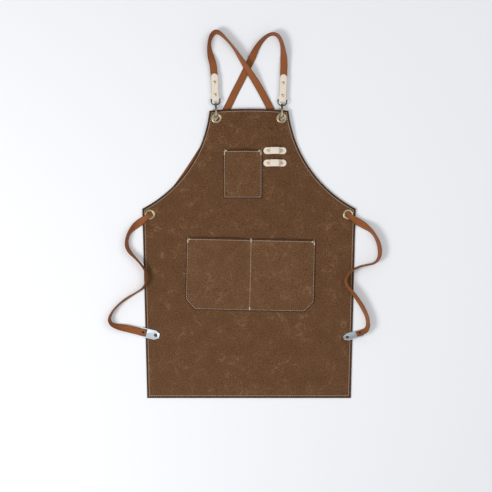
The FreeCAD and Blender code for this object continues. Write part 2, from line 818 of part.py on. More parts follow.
# ---------------------------------------------------------------- snap hooks and leather tabs
def leather_tab(label, x, y, lean):
    """A strip of leather folded round the eye's bar, with room for the webbing between its layers."""
    inner = D.bar_radius + D.bar_play
    outer = inner + D.tab_leather
    slot = D.webbing / 2 + D.tab_play
    face = slot + D.tab_leather
    end = D.tab_length
    section = outline(f"{label}_section", "YZ", [
        (Size(0), -outer, outer),
        (D.tab_pinch, -face),
        (end, -face),
        (end, -slot),
        (D.tab_pinch, -slot),
        (Size(0), -inner),
        (-inner, Size(0), -inner),
        (Size(0), inner, -inner),
        (D.tab_pinch, slot),
        (end, slot),
        (end, face),
        (D.tab_pinch, face),
        (Size(0), outer),
        (-outer, Size(0), outer),
    ])
    fold = extruded(f"{label}_fold", section, Vector(1, 0, 0), D.tab_width, both=True)
    half = D.tab_width / 2
    plan = outline(f"{label}_plan", "XY", [
        (-half, -outer - THROUGH),
        (half, -outer - THROUGH),
        (half, end - half),
        (Size(0), end, half),
        (-half, end - half, half),
    ])
    prism = extruded(f"{label}_prism", plan, Vector(0, 0, 1), (outer + THROUGH) * 2, both=True)
    blank = common(f"{label}_blank", fold, prism)
    shanks = [
        drill(f"{label}_shank_{index}", Size(0), height, -face - THROUGH, (face + THROUGH) * 2)
        for index, height in enumerate((D.tab_rivet_low, D.tab_rivet_high))
    ]
    tab = cut(label, blank, shanks)
    place(tab, x, y, D.hook_axis_height, lean)
    node(tab, label)


def tab_rivets(side, x, y, lean):
    """The two rivets of a leather tab."""
    face = D.webbing / 2 + D.tab_play + D.tab_leather
    places = []
    for height in (D.tab_rivet_low, D.tab_rivet_high):
        shift_x, shift_y = turned(Size(0), height, lean)
        places.append((x + shift_x, y + shift_y, D.hook_axis_height + face))
    rivets(f"{side}_tab_rivet", D.tab_rivet_radius, face * 2, places)
    return places


def hook_levels():
    """Y of the hook's tip, of the notch in it and of the ears' lower end, from the eye's bar."""
    tip = float(D.hook_half_gap - D.hook_floor + D.hook_tip)
    return tip, tip - float(D.gate_nose), -float(D.hook_throat + D.ear_length)


def gate_pivot():
    """Y and Z of the gate's pin, from the eye's bar."""
    return -float(D.hook_throat + D.pivot_drop), -float(D.hook_half_gap + D.hook_arm / 2)


def crosswise(radius, length, y, z):
    """A cylinder along X, centred on x = 0."""
    return Part.makeCylinder(radius, length, Vector(-length / 2, y, z), Vector(1, 0, 0))


def upright(radius, bottom, top):
    """A cylinder along the hook's own axis."""
    return Part.makeCylinder(radius, top - bottom, Vector(0, bottom, 0), Vector(0, 1, 0))


def block(width, bottom, top, low, high):
    """A box centred on x = 0, from bottom to top along Y and from low to high along Z."""
    return Part.makeBox(width, top - bottom, high - low, Vector(-width / 2, bottom, low))


def eye_shape():
    """The hook's eye: a bar across the tab's fold, a round bow below it and the swivel collar."""
    wire, half, corner = float(D.eye_wire), float(D.eye_half_width), float(D.eye_corner)
    base, horn = float(D.eye_base), float(D.eye_horn)
    lower = -base + corner
    turn = corner * (1 - math.sqrt(0.5))
    path = Part.Wire([
        Part.LineSegment(Vector(-half, horn, 0), Vector(-half, lower, 0)).toShape(),
        Part.Arc(Vector(-half, lower, 0), Vector(-half + turn, -base + turn, 0),
                 Vector(-half + corner, -base, 0)).toShape(),
        Part.LineSegment(Vector(-half + corner, -base, 0), Vector(half - corner, -base, 0)).toShape(),
        Part.Arc(Vector(half - corner, -base, 0), Vector(half - turn, -base + turn, 0),
                 Vector(half, lower, 0)).toShape(),
        Part.LineSegment(Vector(half, lower, 0), Vector(half, horn, 0)).toShape(),
    ])
    ring = Part.Wire(Part.Circle(Vector(-half, horn, 0), Vector(0, -1, 0), wire).toShape())
    bow = path.makePipeShell([ring], True, False)
    horns = [Part.makeSphere(wire, Vector(side * half, horn, 0)) for side in (-1, 1)]
    bar = crosswise(float(D.bar_radius), 2 * half, 0, 0)
    top, bottom = -float(D.collar_top), -float(D.collar_bottom)
    collar = upright(float(D.collar_radius), bottom, top)
    bore = upright(float(D.post_radius + D.post_play), bottom - THROUGH, top + THROUGH)
    return bow.fuse([bar, collar] + horns).cut(bore).removeSplitter()


def hook_shape():
    """The hook: swivel post and head, neck, shoulder with the gate's ears, front arm and round bow."""
    gap, arm, width = float(D.hook_half_gap), float(D.hook_arm), float(D.hook_width)
    outer = gap + arm
    shoulder, throat = -float(D.hook_shoulder), -float(D.hook_throat)
    centre = gap - float(D.hook_floor)
    tip, notch, ear_end = hook_levels()
    corner, chamfer = float(D.hook_corner), float(D.ear_chamfer)
    turn = corner * (1 - math.sqrt(0.5))
    ledge = -gap + float(D.hook_ledge)

    def at(y, z):
        return Vector(0, y, z)

    def line(start, end):
        return Part.LineSegment(start, end).toShape()

    def arc(start, middle, end):
        return Part.Arc(start, middle, end).toShape()

    edges = [
        line(at(shoulder, -outer + chamfer), at(shoulder, outer - corner)),
        arc(at(shoulder, outer - corner), at(shoulder - turn, outer - turn), at(shoulder - corner, outer)),
        line(at(shoulder - corner, outer), at(centre, outer)),
        arc(at(centre, outer), at(centre - outer, 0), at(centre, -outer)),
        line(at(centre, -outer), at(tip, -outer)),
        line(at(tip, -outer), at(tip, -gap - arm / 2)),
        line(at(tip, -gap - arm / 2), at(notch, -gap - arm / 2)),
        line(at(notch, -gap - arm / 2), at(notch, -gap)),
        line(at(notch, -gap), at(centre, -gap)),
        arc(at(centre, -gap), at(centre - gap, 0), at(centre, gap)),
        line(at(centre, gap), at(throat, gap)),
        line(at(throat, gap), at(throat, ledge)),
        line(at(throat, ledge), at(ear_end, ledge)),
        line(at(ear_end, ledge), at(ear_end, -outer)),
        line(at(ear_end, -outer), at(shoulder - chamfer, -outer)),
        line(at(shoulder - chamfer, -outer), at(shoulder, -outer + chamfer)),
    ]
    plate = Part.Face(Part.Wire(edges)).extrude(Vector(width, 0, 0))
    plate.translate(Vector(-width / 2, 0, 0))
    edge_round = float(D.hook_edge_round)
    rounded = [
        edge for edge in plate.Edges
        if abs(abs(edge.CenterOfMass.x) - width / 2) < 1e-3 and edge.CenterOfMass.y < throat - edge_round
        and edge.CenterOfMass.z > -gap + edge_round / 2 and edge.Length > 3 * edge_round
    ]
    plate = plate.makeFillet(edge_round, rounded)
    slot = block(width - 2 * float(D.ear), ear_end - THROUGH, throat + THROUGH / 2, -outer - THROUGH, ledge)
    pin = crosswise(float(D.gate_pin_radius), width + 2 * THROUGH, *gate_pivot())
    swivel_gap = float(D.swivel_gap)
    collar_end = -float(D.collar_bottom) - swivel_gap
    head_low = -float(D.collar_top) + swivel_gap
    neck = upright(float(D.neck_radius), shoulder - THROUGH, collar_end)
    post = upright(float(D.post_radius), collar_end - THROUGH, head_low + THROUGH)
    head = upright(float(D.post_head_radius), head_low, head_low + float(D.post_head))
    return plate.cut([slot, pin]).fuse([neck, post, head]).removeSplitter()


def gate_shape():
    """The sprung gate: a knuckle between the hook's ears, a bar, and a nose inside the hook's tip."""
    play, thick = float(D.gate_play), float(D.gate_thick)
    pivot_y, pivot_z = gate_pivot()
    tip, notch, ear_end = hook_levels()
    low, high = pivot_z - thick / 2, pivot_z + thick / 2
    knuckle = float(D.hook_width) - 2 * float(D.ear) - 2 * play
    width = float(D.hook_width) - 2 * float(D.gate_reveal)
    round_end = crosswise(thick / 2, knuckle, pivot_y, pivot_z)
    neck = block(knuckle, ear_end - THROUGH, pivot_y, low, high)
    bar = block(width, tip + 2 * play, ear_end - float(D.gate_neck_gap), low, high)
    nose = block(width, notch + 2 * play, tip + 5 * play, pivot_z + 2 * play, high)
    pin_hole = crosswise(float(D.gate_pin_radius + D.gate_pin_play), knuckle + THROUGH, pivot_y, pivot_z)
    pocket = block(float(D.spring_width) + 2 * play, pivot_y - thick / 2 - float(D.spring_leg) / 2,
                   pivot_y + thick / 2 + THROUGH, low + float(D.gate_reveal), high + THROUGH)
    return round_end.fuse([neck, bar, nose]).cut([pin_hole, pocket]).removeSplitter()


def spring_shape():
    """The gate's torsion spring: close-wound turns round the pin and one leg along the gate."""
    pivot_y, pivot_z = gate_pivot()
    wire, width = float(D.spring_wire), float(D.spring_width)
    inner = float(D.gate_pin_radius) + float(D.spring_play)
    turns = []
    for offset in (-width / 2 + wire / 2, 0.0, width / 2 - wire / 2):
        turn = crosswise(inner + wire, wire * 1.2, pivot_y, pivot_z)
        turn.translate(Vector(offset, 0, 0))
        turns.append(turn)
    hub = crosswise(inner + wire * 0.7, width, pivot_y, pivot_z)
    hole = crosswise(inner, width + THROUGH, pivot_y, pivot_z)
    leg_top = pivot_y - float(D.gate_pin_radius) / 2
    leg = block(wire, leg_top - float(D.spring_leg), leg_top, pivot_z - inner, pivot_z - inner + wire)
    return hub.fuse(turns + [leg]).cut(hole).removeSplitter()


def shaped(name, shape, x, y, z, turn):
    """A sub-part whose shape is built with Part's own functions."""
    feature = doc.addObject("Part::Feature", name)
    feature.Shape = shape
    return place(feature, x, y, z, turn)


def snap_hook(side, x, y, lean):
    """One swivel snap hook with its five pieces."""
    spot = (x, y, D.hook_axis_height, lean)
    node(shaped(f"{side}_eye", eye_shape(), *spot), f"{side}_hook_swivel_eye")
    node(shaped(f"{side}_hook", hook_shape(), *spot), f"{side}_snap_hook")
    node(shaped(f"{side}_gate", gate_shape(), *spot), f"{side}_hook_gate")
    node(shaped(f"{side}_spring", spring_shape(), *spot), f"{side}_gate_spring")
    pin = crosswise(float(D.gate_pin_radius), float(D.hook_width), *gate_pivot())
    node(shaped(f"{side}_pin", pin, *spot), f"{side}_gate_pin")


# ---------------------------------------------------------------- webbing straps
def strap_stations(route):
    """Sections along straight runs joined by tangent arcs: point, direction, roll and width."""
    points = [Vector(x, y - float(ORIGIN_Y), z) for x, y, z, roll, width in route]
    rolls = [row[3] for row in route]
    widths = [row[4] for row in route]
    stations = [(points[0], (points[1] - points[0]).normalize(), rolls[0], widths[0])]
    radii = []
    for index in range(1, len(points) - 1):
        here = points[index]
        before = (here - points[index - 1])
        after = (points[index + 1] - here)
        run = min(before.Length, after.Length)
        arriving, leaving = before.normalize(), after.normalize()
        turn = arriving.getAngle(leaving)
        reach = SHARE_OF_RUN * run
        radius = reach / math.tan(turn / 2)
        radii.append(radius)
        axis = arriving.cross(leaving).normalize()
        inward = axis.cross(arriving).normalize()
        start = here - arriving * reach
        steps = max(2, math.ceil(math.degrees(turn) / ARC_STEP))
        for step in range(steps + 1):
            angle = turn * step / steps
            spot = start + arriving * (radius * math.sin(angle)) + inward * (radius * (1 - math.cos(angle)))
            heading = arriving * math.cos(angle) + inward * math.sin(angle)
            stations.append((spot, heading, rolls[index], widths[index]))
    stations.append((points[-1], (points[-1] - points[-2]).normalize(), rolls[-1], widths[-1]))
    return stations, radii


def strap_shape(name, route):
    """A flat band swept along the route, turning from flat to on edge as it goes."""
    stations, radii = strap_stations(route)
    thick = float(D.webbing) / 2
    wires = []
    expected = 0.0
    previous = None
    for spot, heading, roll, width in stations:
        side = Vector(0, 0, 1).cross(heading).normalize()
        over = heading.cross(side)
        angle = math.radians(roll)
        across = side * math.cos(angle) + over * math.sin(angle)
        normal = heading.cross(across)
        half = width / 2
        corners = [
            spot + across * half + normal * thick,
            spot - across * half + normal * thick,
            spot - across * half - normal * thick,
            spot + across * half - normal * thick,
        ]
        wires.append(Part.makePolygon(corners + corners[:1]))
        if previous:
            expected += (spot - previous[0]).Length * (width + previous[1]) * thick
        previous = (spot, width)
    band = Part.makeLoft(wires, True, True)
    if abs(band.Volume - expected) > 0.04 * expected:
        raise RuntimeError(f"{name}: volume {band.Volume:.0f}, expected {expected:.0f}")
    length = sum((b[0] - a[0]).Length for a, b in zip(stations, stations[1:]))
    print(f"{name}: length {length:.0f}, radii {' '.join(f'{radius:.0f}' for radius in radii)}")
    return band


def webbing_strap(label, route, rivet_spots):
    """One webbing strap, punched where rivets pass through it."""
    band = strap_shape(label, route)
    punch = float(D.rivet_shank + D.rivet_play)
    reach = float(D.webbing) * 3
    holes = [
        Part.makeCylinder(punch, 2 * reach, Vector(*spot) - Vector(*axis) * reach, Vector(*axis))
        for spot, axis in rivet_spots
    ]
    node(shaped(label, band.cut(holes), 0.0, 0.0, 0.0, 0.0), label)


# ---------------------------------------------------------------- strap end plates
def strap_end(route):
    """Where a strap's plate sits: a frame at its rivet, +X along the strap, +Z out of its face."""
    last, before = route[-1], route[-2]
    end = Vector(last[0], last[1] - float(ORIGIN_Y), last[2])
    heading = (Vector(last[0], last[1], last[2]) - Vector(before[0], before[1], before[2])).normalize()
    side = Vector(0, 0, 1).cross(heading).normalize()
    angle = math.radians(last[3])
    across = side * math.cos(angle) + heading.cross(side) * math.sin(angle)
    normal = heading.cross(across)
    place = end - heading * float(D.plate_rivet_inset)
    return FreeCAD.Placement(place, Rotation(heading, across, normal, "XZY"))


def end_plate(side, frame):
    """The metal plate under a strap's end, with its rivet.

    A rimmed sheet with a blunt nose and a round hole. Its rivet is at the frame's origin, and the
    webbing's middle layer lies in the frame's XY plane.
    """
    half, sheet, rim = D.plate_width / 2, D.plate_sheet, D.plate_rim
    nose = D.plate_rivet_to_hole + D.plate_hole_inset
    tail = nose - D.plate_length
    body = doc.addObject("PartDesign::Body", f"{side}_plate_body")
    plane = next(part for part in body.Origin.OriginFeatures if part.Role == "XY_Plane")

    def on_plane(name, corners):
        sketch = body.newObject("Sketcher::SketchObject", name)
        sketch.AttachmentSupport = (plane, "")
        sketch.MapMode = "FlatFace"
        return draw(sketch, corners)

    def edge(inset, overrun):
        return [
            (tail - overrun, -half + inset),
            (nose - D.plate_shoulder, -half + inset),
            (nose - inset, -D.plate_nose),
            (nose - inset, D.plate_nose),
            (nose - D.plate_shoulder, half - inset),
            (tail - overrun, half - inset),
        ]

    pad = body.newObject("PartDesign::Pad", f"{side}_plate_pad")
    pad.Profile = on_plane(f"{side}_plate_outline", edge(Size(0), Size(0)))
    pad.Length = float(sheet + D.plate_rim_height)
    bind(pad, "Length", sheet + D.plate_rim_height)
    doc.recompute()
    full = body.Shape.Volume
    recess = body.newObject("PartDesign::Pocket", f"{side}_plate_recess")
    recess.Profile = on_plane(f"{side}_plate_floor", edge(rim, Size(THROUGH)))
    recess.Length = float(D.plate_rim_height)
    bind(recess, "Length", D.plate_rim_height)
    recess.Reversed = True
    doc.recompute()
    if not body.Shape.Volume < 0.9 * full:
        raise RuntimeError(f"{side} plate: its recess was not cut")
    through = sheet + D.plate_rim_height + 2 * THROUGH
    hole = cylinder(f"{side}_plate_hole", D.plate_hole, through,
                    D.plate_rivet_to_hole, Size(0), Size(-THROUGH))
    shank = cylinder(f"{side}_plate_shank", D.rivet_shank + D.rivet_play, through,
                     Size(0), Size(0), Size(-THROUGH))
    plate = cut(f"{side}_plate", body, [hole, shank])
    seat = float(D.webbing / 2 + D.seat_gap)
    # the recess is drawn on the underside, so the plate is turned over about its own length
    underside = Vector(0, 0, float(D.plate_rim_height) - seat)
    turned_over = FreeCAD.Placement(underside, Rotation(Vector(1, 0, 0), 180))
    plate.Placement = frame.multiply(turned_over)
    node(plate, f"{side}_strap_end_plate")
    stack = D.webbing + sheet + D.seat_gap
    top = frame.multiply(FreeCAD.Placement(Vector(0, 0, float(D.webbing) / 2), Rotation()))
    cap = rivet_cap_solid(f"{side}_plate_rivet_cap", D.plate_rivet_radius)
    post = rivet_post_solid(f"{side}_plate_rivet_post", D.plate_rivet_radius, stack)
    for piece in (cap, post):
        piece.Placement = top
        node(piece, piece.Name)


# ---------------------------------------------------------------- assembly
def assemble():
    """Make every sub-part in place."""
    apron_panel()
    chest_pocket()
    lower_pocket()
    pen_loop("pen_loop_upper", D.loop_upper_y)
    pen_loop("pen_loop_lower", D.loop_lower_y)
    rivets("chest_pocket_rivet", D.pocket_rivet_radius, D.pocket_hem + D.canvas, CHEST_RIVETS)
    rivets("lower_pocket_rivet", D.pocket_rivet_radius, D.pocket_hem + D.canvas, LOWER_RIVETS)
    rivets("pen_loop_rivet", D.loop_rivet_radius, D.loop_leather + D.canvas, LOOP_RIVETS)
    for name, spot in GROMMETS.items():
        grommet(name, *spot)
    hooks = {
        "left": (-BAR_X, up(BAR_Y), D.tab_lean),
        "right": (BAR_X, up(BAR_Y - D.right_hook_drop), -D.tab_lean),
    }
    routes = {"left": LEFT_TAB_STRAP, "right": RIGHT_TAB_STRAP}
    plates = {"left": "right", "right": "left"}
    for side, spot in hooks.items():
        snap_hook(side, *spot)
        leather_tab(f"{side}_leather_tab", *spot)
        held = [((x, y, z), (0, 0, 1)) for x, y, z in tab_rivets(side, *spot)]
        frame = strap_end(routes[side])
        normal = frame.Rotation.multVec(Vector(0, 0, 1))
        held.append((tuple(frame.Base), tuple(normal)))
        webbing_strap(f"{side}_webbing_strap", routes[side], held)
        end_plate(plates[side], frame)


def write_parts():
    """Check every object and write each sub-part."""
    doc.recompute()
    for obj in doc.Objects:
        if "Invalid" in obj.State or "Error" in obj.State:
            raise RuntimeError(f"{obj.Label} failed: {obj.State}")
    for obj in NODES:
        if obj.Shape.isNull() or not obj.Shape.isValid():
            raise RuntimeError(f"{obj.Label} has no valid shape")
    for obj in NODES:
        obj.Shape.exportStep(f"parts/{obj.Label}.step")
    print(f"{len(NODES)} sub-parts written")


assemble()
write_parts()
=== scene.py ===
"""Bib apron laid flat, with patch pockets, leather pen loops, webbing straps and swivel snap hooks.

Laid out as a Blender add-on and run as a script. Metres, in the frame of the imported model: the
floor is z = 0, +Y runs from the hem to the bib and +Z out of the front.
"""
import math
from contextlib import contextmanager

import bmesh
import bpy
import numpy as np
from bpy.props import FloatProperty, FloatVectorProperty, PointerProperty
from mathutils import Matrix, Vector, noise


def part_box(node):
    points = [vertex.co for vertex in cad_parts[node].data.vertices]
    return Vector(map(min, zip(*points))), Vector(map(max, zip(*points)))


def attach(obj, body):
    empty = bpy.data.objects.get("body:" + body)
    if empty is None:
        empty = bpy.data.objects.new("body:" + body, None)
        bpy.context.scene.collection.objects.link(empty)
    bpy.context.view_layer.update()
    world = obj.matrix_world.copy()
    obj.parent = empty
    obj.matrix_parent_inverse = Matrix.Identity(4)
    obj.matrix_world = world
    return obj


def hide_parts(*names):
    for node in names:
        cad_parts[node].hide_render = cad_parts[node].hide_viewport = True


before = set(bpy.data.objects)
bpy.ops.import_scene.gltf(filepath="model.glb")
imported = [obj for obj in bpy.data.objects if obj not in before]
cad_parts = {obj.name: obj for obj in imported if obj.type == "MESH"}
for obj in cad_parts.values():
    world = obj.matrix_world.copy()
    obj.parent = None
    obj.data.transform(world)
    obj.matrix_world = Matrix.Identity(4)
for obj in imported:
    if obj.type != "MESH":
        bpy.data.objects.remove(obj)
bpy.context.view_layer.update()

bl_info = {
    "name": "Bib Apron",
    "version": (1, 0, 0),
    "blender": (4, 5, 0),
    "location": "View3D > Sidebar > Apron",
    "description": "Builds a canvas bib apron with its pockets, straps, leather and fittings",
    "category": "Object",
}

HEM_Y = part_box("apron_panel")[0].y  # where the hem lies; heights on the cloth are measured from it
SIDES = ("left", "right")
GROMMETS = ("left_bib", "right_bib", "left_side", "right_side")
MM = 0.001
FULL_WIDTH = 20  # width of a strap that isn't bunched, in millimetres

WAIST_RAMP = (0.458, 0.494)  # heights between which the canvas climbs over the straps at the waist
BIB_RAMP = (0.706, 0.765)  # and over the straps and hooks behind the bib
CROWN_FADE = 0.16  # how far below the bib's corners the cloth still follows the bow of its top edge
GROMMET_HOLE = 0.0099  # radius of the holes under the grommets
RIVET_CALM, GROMMET_CALM, LOOP_CALM = 0.022, 0.030, 0.034  # reach of the flat cloth round a fitting
FLOOR_GAP = -0.0003  # the floor lies just under the apron, so that their faces don't share a plane
SHARP_EDGE = math.radians(40)  # edges sharper than this are rounded over
SHARP_SHADE = math.radians(32)  # and what is still sharper than this is shaded sharp
BUNCH = 0.38  # how far a bunched strap's edges curl up, as a share of the width it loses
HEM_STEP = 0.0003  # half the width over which a folded hem drops to one layer
SEAM_STEP = 0.003  # distance between the places on a row of stitches
GROOVE_WIDTH, GROOVE_DEPTH = 0.0011, 0.28  # a seam's groove: metres and millimetres
PUCKER_WIDTH, PUCKER_HEIGHT = 0.0042, 0.16  # and the puckers beside it
SEAM_END = 0.0015  # distance of a row's end from a pocket's mouth
SEAM_GUARD = 0.003  # width of the flat cloth beside a pocket's seam
FULL_START, FULL_RISE = 0.006, 0.040  # where a pocket's front starts to rise, and over what width
TACK_TURNS = 13  # turns of a bar tack's zigzag
POCKET_CELL = 0.0035  # distance between the points of the pockets' meshes
LOWER_POCKET_X, LOWER_POCKET_TILT = 0.006, -1.25  # metres and degrees

# Route of each strap, from inside its leather tab to its end plate: x, y above the hem, z, roll in
# degrees (0 lies flat, 90 stands on its edge), and its width where it isn't 20. In millimetres.
LEFT_TAB_STRAP = [
    (-93.9, 846, 8.9, 0), (-97.7, 922, 8.9, 0), (-104.5, 947, 8.2, 12), (-110.5, 971, 9.3, 50),
    (-111, 996, 10.6, 68), (-104, 1016, 9.5, 60), (-91.5, 1025.5, 9.5, 60), (-78, 1018, 10.3, 70),
    (-60, 999.5, 10.4, 80), (-42.5, 978.5, 11, 78), (-27.5, 955.5, 10.6, 64),
    (-14.5, 935.5, 10.6, 50), (0.5, 912.5, 10, 36), (17, 888, 6, 22), (36.5, 855, 3.3, 6),
    (57.5, 815, 1.4, 0), (89, 755, 1.2, 0), (124, 694, 1.2, 0), (162, 636, 1.2, 0),
    (203, 582, 1.2, 0), (240, 545, 1.2, 0), (260, 528.5, 1.1, 0, 16), (273.9, 516.6, 1.2, 0, 12),
    (279.5, 511.6, 8, 0, 12), (289, 503.5, 8.6, 0, 16), (303, 494.5, 5.6, 0), (319, 485, 6.8, 22),
    (336, 473, 11.1, 58), (350, 458, 10.3, 72), (361, 437, 9.9, 66), (366.5, 412, 9.6, 62),
    (363.5, 391, 10.2, 72), (350.5, 377, 10.4, 80), (331, 373, 10.6, 80), (311, 369.5, 12, 80),
    (292, 361, 13.2, 78), (276.5, 348, 13.2, 76), (268.5, 331, 13.2, 74), (273.5, 313, 13.2, 70),
    (291, 294, 13.2, 66), (306, 272.5, 12, 60), (320, 250, 10.2, 60), (330.5, 227, 10.3, 66),
    (332.5, 207, 11.2, 66), (330, 195.8, 13, 58), (321, 186.3, 14.4, 48), (300, 180.3, 14.4, 48),
]
RIGHT_TAB_STRAP = [
    (93.9, 843.8, 8.9, 0), (97.6, 919.8, 8.9, 0), (97.6, 944, 8.2, -12), (95.8, 967, 9.3, -48),
    (92, 991, 10.5, -66), (83.5, 1011.5, 10.1, -70), (68, 1019.5, 10.2, -74),
    (50, 1012.5, 10.4, -72), (33.5, 996.5, 10, -58), (20, 976.5, 9.5, -42),
    (11.5, 958.5, 6.4, -16), (4, 941.5, 1.5, 0), (-6.5, 921, 1.2, 0), (-23.5, 886, 1.3, 0),
    (-41, 853, 1.2, 0), (-59, 814, 1.2, 0), (-92, 755, 1.2, 0), (-130.5, 695.5, 1.2, 0),
    (-167.5, 637.5, 1.2, 0), (-207.5, 581.5, 1.2, 0), (-241.5, 545, 1.2, 0),
    (-260.5, 528.5, 1.1, 0, 16), (-273.9, 516.6, 1.2, 0, 12), (-279.5, 511.6, 8, 0, 12),
    (-289, 504, 8.6, 0, 16), (-302, 494, 5.6, 0), (-318, 482, 7.2, -30), (-333, 465.5, 11.6, -66),
    (-341.5, 445, 10.2, -72), (-341.5, 424.5, 9.7, -62), (-333, 408, 10, -66),
    (-315.5, 390.5, 11, -80), (-298, 371.5, 12.8, -80), (-285, 349.5, 13.2, -78),
    (-284, 327, 13.2, -72), (-293.5, 308.5, 13, -78), (-315, 295, 11, -80),
    (-341, 279.5, 10.4, -74), (-364, 262.5, 10.4, -80), (-382.5, 241.5, 10.5, -82),
    (-391.5, 221, 10.5, -76), (-384.5, 206.5, 10.3, -66), (-366, 200, 9, -42),
    (-342, 195.5, 6.6, -10), (-317, 189, 5.2, 0), (-287.5, 182.2, 5.2, 0),
]


# ---------------------------------------------------------------- settings
def number(name, default, description, **limits):
    """A plain number."""
    return FloatProperty(name=name, description=description, default=default, **limits)


def length(name, default, description):
    """A size in metres."""
    return number(name, default, description, min=0.0, subtype="DISTANCE", unit="LENGTH",
                  precision=4)


def colour(name, default, description):
    """A colour in linear light."""
    return FloatVectorProperty(name=name, description=description, default=default, size=3,
                               min=0.0, max=1.0, subtype="COLOR")


class ApronSizes(bpy.types.PropertyGroup):
    """Sizes of the canvas and of its seams."""

    hem_half_width: length("Half hem", 0.285, "Half the width at the hem")
    side_half_width: length("Half waist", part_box("apron_panel")[1].x,
                            "Half the width below the armholes")
    side_height: length("Side height", 0.530, "Height of the straight sides")
    bib_half_width: length("Half bib", 0.1105, "Half the width of the bib's top edge")
    bib_height: length("Bib height", 0.8035, "Height of the bib's corners above the hem")
    armhole_radius: length("Armhole radius", 0.352, "Radius of the curved sides of the bib")
    crown_radius: length("Top edge radius", 1.113, "Radius of the bib's top edge")
    cloth: length("Canvas", 0.0012, "Thickness of one layer of canvas")
    hem: length("Hem", 0.009, "Depth of the folded hem")
    stitch_inset: length("Stitch inset", 0.0066, "Distance of the topstitching from an edge")
    skirt_level: length("Skirt level", 0.0011, "Height of the canvas above the floor at the skirt")
    waist_level: length("Waist level", 0.0036, "Height of the canvas above the floor at the waist")
    bib_level: length("Bib level", 0.0082, "Height of the canvas above the floor at the bib's top")
    cell: length("Mesh cell", 0.0045, "Distance between the points of the cloth meshes")


class PocketSizes(bpy.types.PropertyGroup):
    """Sizes of the two patch pockets."""

    chest_half_width: length("Chest half width", 0.0545, "Half the chest pocket's width")
    chest_depth: length("Chest depth", 0.137, "Depth of the chest pocket")
    chest_top: length("Chest mouth", 0.696, "Height of the chest pocket's mouth above the hem")
    lower_half_width: length("Lower half width", 0.1805, "Half the lower pocket's width")
    lower_depth: length("Lower depth", 0.203, "Depth of the lower pocket")
    lower_top: length("Lower mouth", 0.447, "Height of the lower pocket's mouth above the hem")
    lower_cut_across: length("Cut corner across", 0.026, "Width of the lower pocket's cut corners")
    lower_cut_up: length("Cut corner up", 0.028, "Height of the lower pocket's cut corners")
    corner: length("Riveted corner", 0.013, "Width of the flat riveted corners of a mouth")
    belly: length("Fullness", 0.0033, "How far a pocket's front stands off its hemmed edge")
    side_seam: length("Side seam", 0.0035, "Distance of the side stitching from a pocket's edge")
    mouth_seam: length("Mouth seam", 0.0062, "Distance of the mouth's stitching from its edge")


class StitchSizes(bpy.types.PropertyGroup):
    """Sizes of the thread."""

    pitch: length("Pitch", 0.0050, "Distance from one stitch to the next")
    run: length("Stitch length", 0.0044, "Length of the thread that shows in one stitch")
    thread: length("Thread", 0.0012, "Thickness of the thread")


class FinishColours(bpy.types.PropertyGroup):
    """Colours of the materials."""

    canvas: colour("Canvas", (0.056, 0.0165, 0.0025), "Waxed canvas")
    canvas_worn: colour("Worn canvas", (0.225, 0.116, 0.055), "Where the wax is cracked and rubbed")
    webbing: colour("Webbing", (0.285, 0.088, 0.021), "Woven straps")
    leather: colour("Leather", (0.780, 0.690, 0.580), "Natural leather")
    thread: colour("Thread", (0.620, 0.530, 0.430), "Topstitching thread")
    brass: colour("Brass", (0.680, 0.560, 0.330), "Rivets and grommets")
    # besides the swivel eyes' own colour, this is also the painted dark reflection on the snap
    # hooks' necks
    bronze: colour("Bronze", (0.110, 0.090, 0.060), "Dark parts of the snap hooks")
    plate: colour("Plate", (0.580, 0.660, 0.710), "Pale strap end plates")


class StrapSizes(bpy.types.PropertyGroup):
    """Sizes of the webbing straps."""

    width: length("Width", 0.020, "Width of the webbing")
    thickness: length("Thickness", 0.0018, "Thickness of the webbing")
    left_length: length("Left length", 1.295, "Length of the strap on the left tab")
    right_length: length("Right length", 1.310, "Length of the strap on the right tab")


class StageSettings(bpy.types.PropertyGroup):
    """The floor, lights and camera."""

    floor: length("Floor", 8.0, "Width of the floor")
    floor_colour: colour("Floor colour", (0.85, 0.855, 0.87), "Pale floor")
    view_width: length("View width", 1.3776, "Width of floor that the camera sees")
    view_x: number("View X", -0.0084, "Middle of the view", unit="LENGTH")
    view_y: number("View Y", -0.0279, "Middle of the view", unit="LENGTH")
    lens: number("Lens", 85.0, "Focal length in millimetres", min=10.0)
    key: number("Key light", 70.0, "Power of the main light", min=0.0)
    fill: number("Fill light", 34.0, "Power of the second light", min=0.0)
    sky: number("Sky", 0.53, "Strength of the even light", min=0.0)


def sizes():
    """The settings of the canvas."""
    return bpy.context.scene.apron_sizes


def pockets():
    """The settings of the pockets."""
    return bpy.context.scene.apron_pockets


def colours():
    """The settings of the colours."""
    return bpy.context.scene.apron_colours


# ---------------------------------------------------------------- small helpers
def smooth(low, high, value):
    """0 below low, 1 above high and an even curve between them."""
    share = np.clip((value - low) / (high - low), 0.0, 1.0)
    return share * share * (3 - 2 * share)


def noise_field(x, y, wavelength, seed):
    """Even noise from -1 to 1 over two arrays of places."""
    spots = zip(np.ravel(x) / wavelength, np.ravel(y) / wavelength)
    values = [noise.noise(Vector((a + seed, b - seed, seed * 0.37))) for a, b in spots]
    return np.array(values).reshape(np.shape(x))


def new_object(name, mesh, material):
    """Put a mesh in the scene as a piece."""
    piece = bpy.data.objects.new(name, mesh)
    bpy.context.scene.collection.objects.link(piece)
    mesh.materials.clear()
    mesh.materials.append(material)
    return piece


def finish_piece(piece, body, replaced=()):
    """Tie a finished piece to its body and hide the nodes that it stands for."""
    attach(piece, body)
    if replaced:
        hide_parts(*replaced)
    return piece


def add_attribute(mesh, name, values):
    """Store one number for each point of a mesh."""
    attribute = mesh.attributes.new(name, "FLOAT", "POINT")
    attribute.data.foreach_set("value", np.asarray(values, np.float32).ravel())


